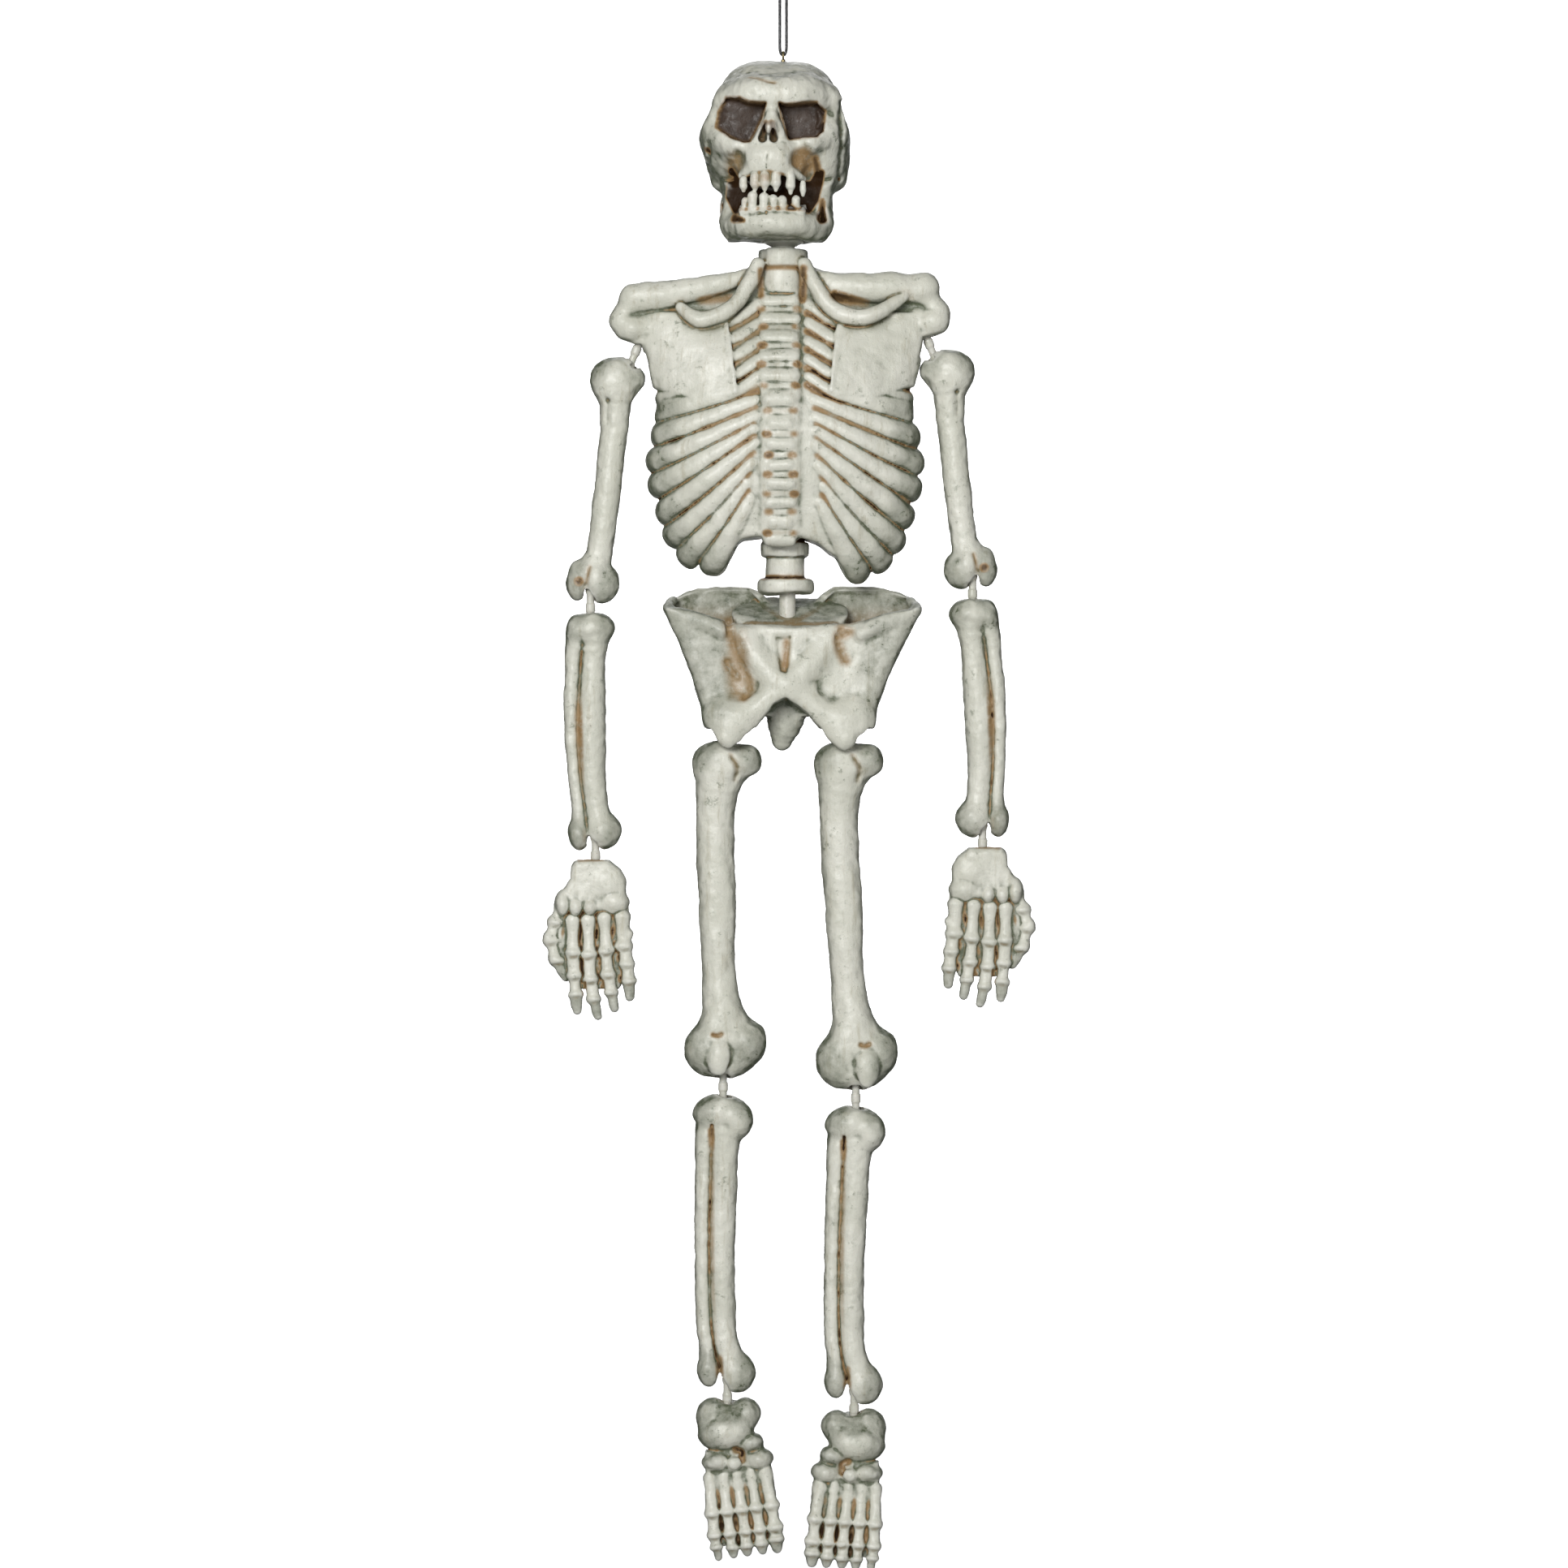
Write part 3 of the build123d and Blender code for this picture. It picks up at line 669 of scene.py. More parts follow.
def cut_eyes(clay):
    """Two deep angular sockets with a dark floor and brown rims."""
    left = [
        (-34, -84), (-26, -84.8), (-20.5, -87.6), (-10.4, -88.4), (-12.6, -96), (-19.8, -110.2),
        (-23.5, -110.4), (-31.8, -107.4), (-40, -101), (-38.6, -92),
    ]
    right = [
        (-2.2, -88.4), (2.4, -89), (20, -87.4), (25, -91.5), (23.6, -104), (20, -107.6), (3.4, -109),
        (-0.6, -96),
    ]
    for outline in (left, right):
        clay.cut(slab(outline, -70, -27, 2.0), 1.6)
        clay.tint(slab(outline, -45, -24, 1.0), brown=0.75, reach=1.6)
        inner = [(0.86 * x + 0.14 * sum(p[0] for p in outline) / len(outline),
                  0.86 * z + 0.14 * sum(p[1] for p in outline) / len(outline)) for x, z in outline]
        clay.tint(slab(inner, -34, -24, 1.0), dark=1.0, reach=1.8)
    clay.add(rod([(21, -28, -92), (22.5, -27, -97), (20.5, -27, -101)], (1.6, 2.2, 1.4)), 1.0)


def add_nose(clay):
    """The narrow bridge, the raised triangle and the two nostrils."""
    clay.add(rod([(-6.3, -39, -86), (-6.4, -41, -95), (-7.6, -43, -103)], (2.6, 2.9, 4.5), 1.3), 2)
    clay.add(rod([(-7, -42, -95), (-12, -41, -104), (-17.6, -37, -112)], (2.2, 2.6, 2.4), 1.3), 1.5)
    clay.add(rod([(-6, -42, -95), (-2.4, -41, -104), (1.8, -37, -112)], (2.2, 2.6, 2.4), 1.3), 1.5)
    clay.add(ball((-8, -36, -110), (10, 7, 8)), 2)
    for side in (-1, 1):
        hole = [(-8.8 + side * 1.9, -46, -101), (-8.9 + side * 3.3, -44, -109)]
        clay.cut(rod(hole, (1.2, 2.6), 3.2), 0.8, dark=0.55, reach=0.8)
        clay.tint(rod(hole, (1.6, 1.0), 3.0), brown=0.6, reach=1.5)


def cut_mouth(clay):
    """The open mouth with brown corners, and the brown hollows of the cheeks."""
    opening = [
        (-31, -126), (-26.5, -133), (-16, -129.6), (-9, -128.8), (-1, -130.2), (11.8, -134.2),
        (17, -134), (20.4, -128), (23, -127.5), (22, -134), (19.5, -144), (14.5, -151.5),
        (-28, -151.4), (-32.5, -142),
    ]
    clay.cut(slab(opening, -70, -29, 1.2), 1.0, brown=1.0, reach=1.2)
    clay.tint(slab(opening, -37, -18, 1.0), brown=1.6, reach=2.5)
    clay.tint(ball((11.5, -30, -122), (5.5, 20, 6.5)), brown=0.5, reach=4.5)
    clay.tint(rod([(19, -26, -120), (21, -24, -129)], 0.8, 9), brown=0.8, reach=3.0)
    # brown stain and painted shade on the figure's right cheek
    clay.tint(ball((-29, -28, -125), (2.5, 20, 6)), brown=0.35, grime=0.6, reach=6.0)
    clay.cut(rod([(-30.5, -36, -146), (-29.5, -36, -156), (-24, -40, -157.5)], (1.8, 2.0, 0.8), 3),
             1.0, brown=0.9)
    clay.cut(ball((13, -46, -122.5), (9.5, 14, 10.5)), 2.5)
    clay.cut(ball((-27.5, -42, -122), (5, 12, 7)), 3.0)
    clay.cut(rod([(23.6, -30, -144.5), (23.6, -30, -155)], (1.8, 3.0), 4), 1.2, brown=0.95)
    clay.cut(rod([(-35.5, -10, -146), (-35.5, -12, -153)], 1.6, 3), 1.2, brown=0.5)
    clay.add(rod([(-24, -37, -151.5), (-8, -41, -150.6), (11, -38, -151.8)], 2.4, 1.0, 4), 2.0)


def add_teeth(clay):
    """Pointed upper teeth and short lower teeth, set in an arc."""
    def arc(x):
        return -41.5 + 0.011 * (x + 7) ** 2

    for x, tip, half_width in UPPER_TEETH:
        root = -130.5 - 0.012 * (x + 8) ** 2
        points = [(x, arc(x), root), (x, arc(x) - 0.4, (root + tip) / 2), (x, arc(x), tip + 1)]
        clay.add(rod(points, (half_width, 1.08 * half_width, 0.5 * half_width), 0.9), 0.4, True)
    for x, tip, half_width in LOWER_TEETH:
        points = [(x, arc(x) + 1, -151), (x, arc(x) + 0.6, tip - 1.6), (x, arc(x) + 1, tip - 0.8)]
        clay.add(rod(points, (half_width, 1.05 * half_width, 0.85 * half_width), 0.9), 0.4, True)


def cut_skull_hollows(clay):
    """Painted shade on the sides and underneath, small marks, the temples, the seam, and the sockets
    for the neck plug and eyelet.
    """
    # painted shade on the sides of the skull and under the jaw
    for x, y, z, radii in (
        (38, -4, -100, (8, 18, 26)), (-46, -6, -118, (9, 20, 18)), (-34, -20, -140, (8, 18, 12)),
        (31, -12, -146, (8, 18, 10)), (-4, 0, -168, (34, 34, 5)),
    ):
        clay.tint(ball((x, y, z), radii), grime=0.45, reach=9.0)
    for x, z_from, z_to in ((34.5, -86, -130), (-45, -110, -122)):
        route = clay.on_surface([(x, z_from), (x + 0.5, (z_from + z_to) / 2), (x - 1, z_to)], -0.5)
        clay.cut(rod(route, 1.6, 2), 2.0)
    ridge = [
        (-25, -33, -130.5), (-17, -37.5, -127), (-9, -40, -125.6), (0, -39, -127.4),
        (8, -35.5, -130.4), (12, -31, -132),
    ]
    clay.add(rod(ridge, (2.2, 3.0, 3.2, 3.2, 2.8, 2.0), 1.0, 4), 2.5, True)
    for seam in (
        [(-9, -116), (-10, -124), (-10, -128)], [(-10, -152.5), (-10, -158), (-9.6, -165)],
    ):
        clay.cut(rod(clay.on_surface(seam, -0.2), 0.5), 0.4)
    crack = clay.on_surface([(-20, -72.5), (-12, -75), (-5, -76.5)], -0.4)
    clay.cut(rod(crack, 0.5), 0.6, brown=0.35, reach=2.0)
    clay.tint(ball((-44.7, clay.surface(-44.7, -113), -113), 1.6), brown=0.9)
    suture = [(x, -78 + 1.2 * sin(1.7 * x)) for x in range(-30, 26, 5)]
    clay.cut(rod(clay.on_surface(suture, -0.2, 1, 2), 0.6), 0.6)
    for side in (-1, 1):
        suture = [(1, -80), (12, -98), (24, -112), (33, -120)]
        suture = [(SKULL_MIDDLE + side * x, z) for x, z in suture]
        clay.cut(rod(clay.on_surface(suture, -0.2, 1), 0.6), 0.6)
    clay.add(ball((-4, 20, -150), (26, 22, 13)), 4)
    clay.add(drum(0, -150, -166.0, 19.5, 3.0), 3)
    clay.cut(drum(0, -150, -175, 12.3, 0.3), 0.4, brown=0.3)
    clay.cut(drum(0, -146, -164.5, 16.0, 0.5), 0.4)
    clay.cut(drum(0, -50, -60.5, 1.5, 0.2), 0.5, brown=0.4)
    clay.cut(drum(0, -60.3, -69, 4.6, 0.5), 0.4)


# ---------------------------------------------------------------- pelvis
PELVIS_BOX = ((-80, -32, -478), (92, 30, -362))
PELVIS_FRONT = 1.8  # x of the middle line of the X and the arch
WINGS_MIDDLE = 5.4  # x midway between the wings


def sculpt_pelvis():
    """Two bowl-shaped wings, the tilted disc, an X-shaped front and the tail bone."""
    clay = Clay(*PELVIS_BOX, 0.8)
    wing = [
        (22, -396), (4, -390), (-7, -383.5), (-13, -377), (-19, -371), (-52, -370), (-67, -377),
        (-72.5, -383), (-71.5, -388), (-63, -406), (-54.6, -427), (-47.5, -452), (-46, -466),
        (-22, -466), (-10, -440), (22, -425),
    ]
    other = [(2 * WINGS_MIDDLE - x + 0.075 * min(0, z + 400), z) for x, z in wing]
    for outline in (wing, other):
        clay.add(slab(outline, -15, 20, 7), 4)
    open_bowls(clay)
    add_sacrum(clay)
    add_front(clay)
    add_hips(clay)
    clay.roughen()
    return clay


def open_bowls(clay):
    """Hollows the wings out, paints shade on their inner faces, and opens them upwards and forwards
    along a twisted rim.
    """
    skin = 4.2
    bowl_floor = -409
    _, (x, y, z) = clay.window(Shape(None, *PELVIS_BOX), 0)
    inner = np.maximum(clay.field + skin, bowl_floor - z + 0.35 * np.abs(x - PELVIS_MIDDLE) - 14)
    clay.field = -smooth_min(-clay.field, inner, 1.5)
    # painted shade over the bowls' inner faces; the brown stain there grows lower down
    hidden = np.clip(1.4 - np.abs(inner) / 2.0, 0, 1)
    low_down = np.clip((-383 - z) / 14, 0.0, 1.0)
    clay.stains_and_shade["brown"] = np.maximum(clay.stains_and_shade["brown"], hidden * (0.06 + 0.30 * low_down))
    clay.stains_and_shade["grime"] = np.maximum(clay.stains_and_shade["grime"], 0.85 * hidden)
    inwards = np.clip((77.5 - np.abs(x - 5.9)) / 44, 0, 1)
    opening = np.where(y > 2, np.sqrt(1 - (1 - inwards) ** 2), inwards)
    rim = -385.3 + 0.815 * opening * (y - 2)
    clay.field = -smooth_min(-clay.field, (rim - z) * 0.75, 1.5)
    above_disc = np.maximum(
        (np.hypot((x - PELVIS_MIDDLE) / 34, (y + 2) / 15.5) - 1) * 15.5, -390.5 + 0.55 * y - z
    )
    clay.field = -smooth_min(-clay.field, above_disc, 1.0)


def add_sacrum(clay):
    """The oval block whose flat top carries the waist pin."""
    def distance(x, y, z):
        half_width = np.interp(z, (-442, -400, -380), (17, 33, 36))
        across = (np.hypot((x - PELVIS_MIDDLE) / half_width, (y - 1) / 18.5) - 1) * 18.5
        top = z + 391.0 - 0.55 * y
        outside = np.hypot(np.maximum(across + 1.5, 0), np.maximum(top, 0))
        return outside + np.minimum(np.maximum(across + 1.5, top), 0) - 1.5

    clay.add(Shape(distance, (-34, -20, -446), (43, 22, -376)), 1.2)
    clay.add(rod([(3, 6, -436), (2, 9, -452), (-0.5, 11, -465.5)], (14.5, 11.5, 6.5), 0.8, 3), 3)


def add_front(clay):
    """Ridges along the rims, and the bright X across the front."""
    ridge = [(-66, 9, -381), (-68.5, 0, -385), (-66, -7, -388.5), (-57, -11, -392), (-46, -13, -396),
             (-36, -15, -401)]
    other = [(2 * WINGS_MIDDLE - x, y, z - 1.5) for x, y, z in ridge]
    for rim in (ridge, other):
        clay.add(rod(rim, (2.4, 3.0, 3.4, 4.0, 4.4, 4.0), 1.0, 4), 3.0, True)
    for side in (-1, 1):
        upper = [(25, -12, -406), (13, -15, -422), (2, -16, -434)]
        lower = [(2, -16, -434), (16, -16.5, -445), (27, -17, -455), (35, -19, -465)]
        for arm, radii in ((upper, (7.5, 8.0, 8.5)), (lower, (8.5, 8.0, 8.0, 6.5))):
            arm = [(PELVIS_FRONT + side * x, y, z) for x, y, z in arm]
            clay.add(rod(arm, radii, 0.75, 3), 4.0)
    clay.cut(ball((-30, -19, -419), (7, 5.2, 19)), 4.0, brown=0.2)
    clay.cut(ball((38, -20, -412), (6, 5.8, 15)), 4.0)
    creases = (
        [(-33, -394), (-31.5, -402), (-29, -411), (-24, -424), (-20, -433), (-24, -441)],
        [(35, -399), (33, -405), (34, -411), (37, -418)],
        [(-27, -428), (-31, -424), (-33, -419)],
        [(33, -404), (39, -401)],
    )
    for crease in creases:
        clay.cut(rod(clay.on_surface(crease, -1.3), 1.9), 1.5, brown=0.42, reach=4.0)
    pit = [(-4.0, -405), (3.6, -404.6), (2.2, -415), (1.0, -424), (-0.4, -423.5), (-2.4, -414)]
    clay.cut(slab(pit, -40, -16, 1.0, 0.8), 3.0, brown=0.25, reach=1.5)
    clay.tint(rod([(2.0, -18, -407), (1.0, -17, -421)], 0.8, 2.0), brown=0.6, reach=3.0)
    clay.tint(ball((-27, -14, -421), (4, 9, 17)), brown=0.36, reach=7.0)
    # painted shade on both sides of the pelvis, on the top of the disc and on the tail bone
    clay.tint(ball((-50, -8, -420), (24, 22, 42)), grime=0.55, reach=10.0)
    clay.tint(ball((64, -4, -428), (14, 24, 40)), grime=0.5, reach=10.0)
    clay.tint(ball((PELVIS_MIDDLE, 3, -386), (34, 16, 9)), grime=0.55, reach=4.0)
    clay.tint(ball((0, 8, -462), (14, 16, 14)), grime=0.5, reach=8.0)


def add_hips(clay):
    """The arch below, and the sockets that the thighs hang in."""
    arch = [(-20, -466), (-6, -444), (1.8, -440.5), (15, -450), (29, -470), (20, -484), (-14, -484)]
    clay.cut(slab(arch, -40, 1, 3), 2.0)
    for name in SIDES:
        x, z = JOINTS[name + "_hip_swing"]
        clay.add(ball((x, 1, z + 9), (13, 13, 10)), 3)
        lean = -1.5 if name == "right" else 1.0
        clay.add(ball((x + lean, -15.5, z + 5.5), (13.0, 6.5, 10.5)), 8)
        under = box_outline(x - 19, x + 19, z - 0.4, z - 30)
        clay.cut(slab(under, -18.8, 40, 1.0), 1.0)
        pin_well(clay, (x, 0, z), (0, 0, 1))


# ---------------------------------------------------------------- limb bones
# Each is sculpted straight, with its upper end at the origin and -z towards its lower one.
def down(points):
    """(x, y, depth) points as clay coordinates."""
    return [(x, y, -depth) for x, y, depth in points]


def lump(clay, centre, radii, blend=2.0):
    """Adds an ellipsoid at (x, y, depth)."""
    clay.add(ball(down([centre])[0], radii), blend)


def shade_bone_ends(clay, *places):
    """Painted shade round (depth, radius) places, most of it at the sides."""
    for depth, radius in places:
        for side in (-1, 1):
            clay.tint(ball((side * radius, 0, -depth), (0.6 * radius, radius, radius)), 7.0, grime=0.6)


def groove(clay, points, radius, brown, blend=1.2, depth=2.0):
    """Cuts a stained groove along (x, y, depth) points."""
    clay.cut(rod(down(points), radius, depth, 3), blend, brown=brown, reach=1.8)


def finish_bone(clay, length=0):
    """The pin's hole at the top, one at the bottom of a bone with a length, and the rough skin."""
    pin_well(clay, (0, 0, 0), (0, 0, -1))
    if length:
        pin_well(clay, (0, 0, -length), (0, 0, 1))
    clay.roughen()
    return clay


def sculpt_humerus():
    """Upper arm; +x is away from the body."""
    clay = Clay((-24, -18, -152), (20, 18, 5), 0.6)
    lump(clay, (0.5, 0, 14.5), (14.5, 13, 14.0))
    clay.add(rod(down([(-6, 0, 9), (-11, 0, 12)]), (8.0, 7.0)), 5)
    shaft = [(-1, 0, 20), (-2, 0, 34), (-2.6, 0, 60), (-2.6, 0, 90), (-2, 0, 118), (-0.5, 0, 130)]
    clay.add(rod(down(shaft), (11, 8.9, 8.2, 8.1, 8.0, 9.4), 0.97, 3), 4)
    lump(clay, (1, 0, 129), (10.5, 8.5, 10.0), 5)
    lump(clay, (8.8, 0, 134.5), (7.0, 8.8, 12.0), 1.6)
    lump(clay, (-5.5, 0, 134.5), (10.8, 10.5, 12.0), 1.8)
    lump(clay, (-2, -7.5, 132), (4.0, 3.6, 6.5), 2.5)
    groove(clay, [(2.5, -10.5, 126), (3.6, -10.5, 134), (4.0, -9, 146)], 0.8, 0.35)
    groove(clay, [(1.5, 11.5, 126), (1.5, 11.5, 138)], 2.6, 0.25, 2.5)
    clay.tint(ball((8, -8, -135), 1.8), brown=0.8)
    groove(clay, [(3, -10.4, 27), (2, -9.4, 40)], 1.0, 0.1, 2.5)
    shade_bone_ends(clay, (4, 12), (137, 13))
    pin_well(clay, (-HUMERUS_OFFSET, 0, 0), (sin(SHOULDER_SLANT), 0, -cos(SHOULDER_SLANT)))
    pin_well(clay, (0, 0, -HUMERUS_LENGTH), (0, 0, 1))
    clay.roughen()
    return clay


def sculpt_forearm():
    """Two bones fused side by side; +x is away from the body."""
    clay = Clay((-20, -16, -148), (22, 16, 6), 0.6)
    lump(clay, (-1, 0, 8.5), (14, 11.5, 9.5))
    lump(clay, (8, 0, 9.5), (7, 9.5, 9))
    main = [(-2, 0, 16), (-1, 0, 30), (0.8, 0, 66), (0.6, 0, 95), (-1.2, 0, 116), (-3.5, 0, 130)]
    clay.add(rod(down(main), (9.0, 7.4, 8.7, 8.0, 7.2, 9.5), 1.0, 3), 3)
    thin = [(9, 0, 14), (11.2, 0, 30), (12.8, 0, 66), (11.6, 0, 98), (9.6, 0, 118), (9.5, 0, 130)]
    clay.add(rod(down(thin), (6.5, 4.8, 4.8, 4.2, 4.4, 6.0), 1.2, 3), 1.6)
    lump(clay, (-5.5, 0, 131), (10.2, 10.5, 11.0))
    lump(clay, (9.8, 0, 132), (6.4, 9, 10.0), 1.2)
    for y in (-9.5, 9.5):
        between = [(7.0, y, 22), (8.4, y, 60), (8.0, y, 95), (6.0, y, 122)]
        groove(clay, between, (0.5, 1.8, 1.6, 0.6), 0.6)
    groove(clay, [(5.4, -10.5, 130), (5.6, -9, 142)], 1.0, 0.3)
    shade_bone_ends(clay, (3, 13), (136, 13))
    return finish_bone(clay, FOREARM_LENGTH)


def sculpt_femur(kneecap_x):
    """Thigh bone with its kneecap."""
    clay = Clay((-30, -21, -212), (32, 22, 5), 0.7)
    lump(clay, (-4.5, 0, 13), (18, 15.0, 13.0))
    lump(clay, (10.5, -1, 12), (9.0, 10.5, 10.0), 3)
    shaft = [(-6, 0, 22), (-7.6, 0, 40), (-7.4, 0, 65), (-5.5, 0, 100), (-3.6, 0, 145), (-1, 0, 166)]
    clay.add(rod(down(shaft), (14.5, 12.0, 11.4, 11.2, 10.3, 12.5), 0.97, 3), 5)
    lump(clay, (-11, 1, 187), (12.8, 14.5, 15.5), 9)
    lump(clay, (14.5, 1, 183), (11.0, 13.5, 14.0), 9)
    lump(clay, (0, 0, 178), (14, 13.0, 17.0), 6)
    lump(clay, (0, 2, 194), (17, 13, 11.0), 5)
    lump(clay, (kneecap_x, -11.5, 191.5), (7.2, 5.0, 11.0), 1.6)
    mark = [(kneecap_x + x, -depth) for x, depth in ((-3.5, 178), (-1, 178.6), (1.5, 177.6))]
    clay.cut(rod(clay.on_surface(mark), 0.8), 1.2, 2.2, brown=0.45)
    groove(clay, [(0, 17, 176), (0.5, 17, 202)], 4.0, 0.2, 3.0)
    groove(clay, [(1, -15.6, 9), (5, -14, 17), (4, -13, 24)], 1.2, 0.3, 2.5)
    shade_bone_ends(clay, (4, 15), (192, 20))
    return finish_bone(clay, FEMUR_LENGTH)


def sculpt_shin():
    """A thick and a thin bone fused side by side."""
    clay = Clay((-26, -18, -186), (24, 18, 6), 0.65)
    lump(clay, (-2, 0, 12.5), (16.5, 12.8, 12.0))
    lump(clay, (8.0, -1, 16), (10.2, 12.0, 11.5), 3)
    thick = [(0, 0, 24), (-0.5, 0, 48), (-2.2, 0, 95), (-2.0, 0, 135), (0, 0, 152), (4, 0, 162)]
    clay.add(rod(down(thick), (10.0, 8.4, 8.0, 7.6, 7.6, 8.5), 1.05, 3), 4)
    thin = [
        (-10, 1, 20), (-12.3, 1, 50), (-13.6, 1, 95), (-13.2, 1, 135), (-11.5, 0, 155), (-11, 0, 163),
    ]
    clay.add(rod(down(thin), (7.0, 5.4, 5.0, 4.9, 5.2, 6.2), 1.3, 3), 1.4)
    lump(clay, (-11, 0, 166), (7.0, 8.5, 10.0), 1.0)
    lump(clay, (6, 0, 167.5), (11.2, 10.5, 12.0), 1.5)
    for y in (-9.0, 9.0):
        between = [(-7.0, y, 19), (-8.2, y, 60), (-8.6, y, 110), (-7.0, y, 152)]
        groove(clay, between, (0.5, 1.4, 1.3, 0.7), 0.4)
    clay.tint(rod(down([(-7.2, -8, 22), (-7.6, -8, 40)]), (1.2, 0.3)), brown=0.6)
    groove(clay, [(-4.6, -9.5, 158), (-4.2, -8.5, 174)], 1.5, 0.6, 1.5)
    shade_bone_ends(clay, (3, 15), (170, 14))
    return finish_bone(clay, SHIN_LENGTH)


def finger(clay, joints, scale):
    """Segments a little thinner in the middle than at the joints, and a blunt tip darkened with
    painted shade.
    """
    sizes = scale * np.array([5.0, 5.1, 4.8, 4.4, 2.9])
    joints = np.array(joints, float)
    last = len(joints) - 2
    for i, (a, b, start, end) in enumerate(zip(joints, joints[1:], sizes, sizes[1:])):
        waist = 0.82 * (start + end) / 2
        points = [a, a + 0.3 * (b - a), a + 0.7 * (b - a), b]
        if i == last:
            waist = 0.76 * start
            start = 0.82 * start
            # painted shade over the tip
            clay.tint(rod(down([b, a + 0.4 * (b - a)]), end), grime=0.7, reach=4.0)
        clay.add(rod(down(points), (start, waist, waist, end), 0.95, 2), 0.8)
        if i < last:
            lump(clay, b - (0, 0.4, 0), (1.04 * end, 1.03 * end, 0.6 * end), 1.2)
            # the crease at each joint: brown stain and painted shade
            ring = rod(down([b + (-3.5, -end, 0.5 * end), b + (3, -end, 0.7 * end)]), 0.5)
            clay.cut(ring, 1.0, brown=0.25, grime=0.8, reach=1.2)


def gaps(clay, places, y):
    """Narrow brown slits between neighbouring fingers or toes, as (x, from, to, half width)."""
    for x, start, end, half_width in places:
        slit = [(x - 0.4, y, start), (x, y, (start + end) / 2), (x + 0.3, y, end)]
        clay.cut(rod(down(slit), (0.3, half_width, 0.3), 3.0, 3), 0.8, brown=0.8, reach=0.9)


def sculpt_hand():
    """Wrist block, wrist bones and five fingers in one moulding; +x is the thumb's side."""
    clay = Clay((-34, -16, -100), (38, 16, 5), 0.5)
    block = [
        (-7, -1.6), (10.5, -1.8), (11.6, -4), (12, -11), (19, -21), (19, -27), (-16, -27), (-15, -12),
        (-12.5, -6),
    ]
    clay.add(slab(block, -9.0, 9.5, 4.5, 3.0), 2)
    lump(clay, (-7, -2, 13), (10.0, 9.0, 9.0), 4)
    for x, depth, wide, tall in (
        (-11.5, 24, 9.2, 8.0), (3.2, 27, 4.6, 6.0), (11.8, 27, 4.8, 6.4), (19.5, 25, 5.0, 8.0),
    ):
        lump(clay, (x, -3, depth), (wide, 8.6, tall), 1.3)
    palm = [(-20, -28), (22, -28), (24, -48), (20, -66), (8, -76), (-14, -76), (-22, -64), (-20, -44)]
    clay.add(slab(palm, -6.2, 4.5, 2.5), 1.5)
    columns = [
        ((13.6, 35), (13.2, 54), (12.6, 68), (11.8, 79), (10.6, 89.0)),
        ((4.2, 35), (3.6, 55), (2.6, 70), (0.6, 82), (-1.4, 92.0)),
        ((-5.4, 34), (-6.6, 53), (-7.6, 67), (-9.6, 78), (-11.4, 87.0)),
        ((-16.2, 33), (-17.4, 50), (-18.8, 61), (-20.0, 71), (-20.8, 80.5)),
    ]
    for column, scale in zip(columns, (0.94, 0.96, 0.96, 1.02)):
        finger(clay, [(x, -4.6 - 0.02 * depth, depth) for x, depth in column], scale)
    thumb = [(20, 27), (24, 36), (26.4, 47), (22.8, 59), (17.6, 69)]
    finger(clay, [(x, -2 - 0.03 * depth, depth) for x, depth in thumb], 0.98)
    for x, depth in ((28.4, 44.5), (25.2, 57.5), (-20.4, 43)):
        lump(clay, (x, -4, depth), (2.8, 4.0, 2.8), 2.5)
    slits = (
        (8.9, 38, 50, 0.9), (-0.8, 37, 49, 1.2), (-10.7, 36, 46, 1.2), (8.0, 58, 65, 0.8),
        (-2.4, 58, 64, 0.8), (6.4, 72, 80, 0.9), (-4.2, 71, 80, 1.1), (-13.4, 54, 60, 0.8),
        (-14.6, 66, 73, 0.9), (19.4, 38, 46, 0.8),
    )
    gaps(clay, slits, -9)
    clay.tint(rod(down([(-4, 0, -2), (9, 0, -1)]), 2.0, 3.0), brown=0.55, reach=1.5)
    return finish_bone(clay)


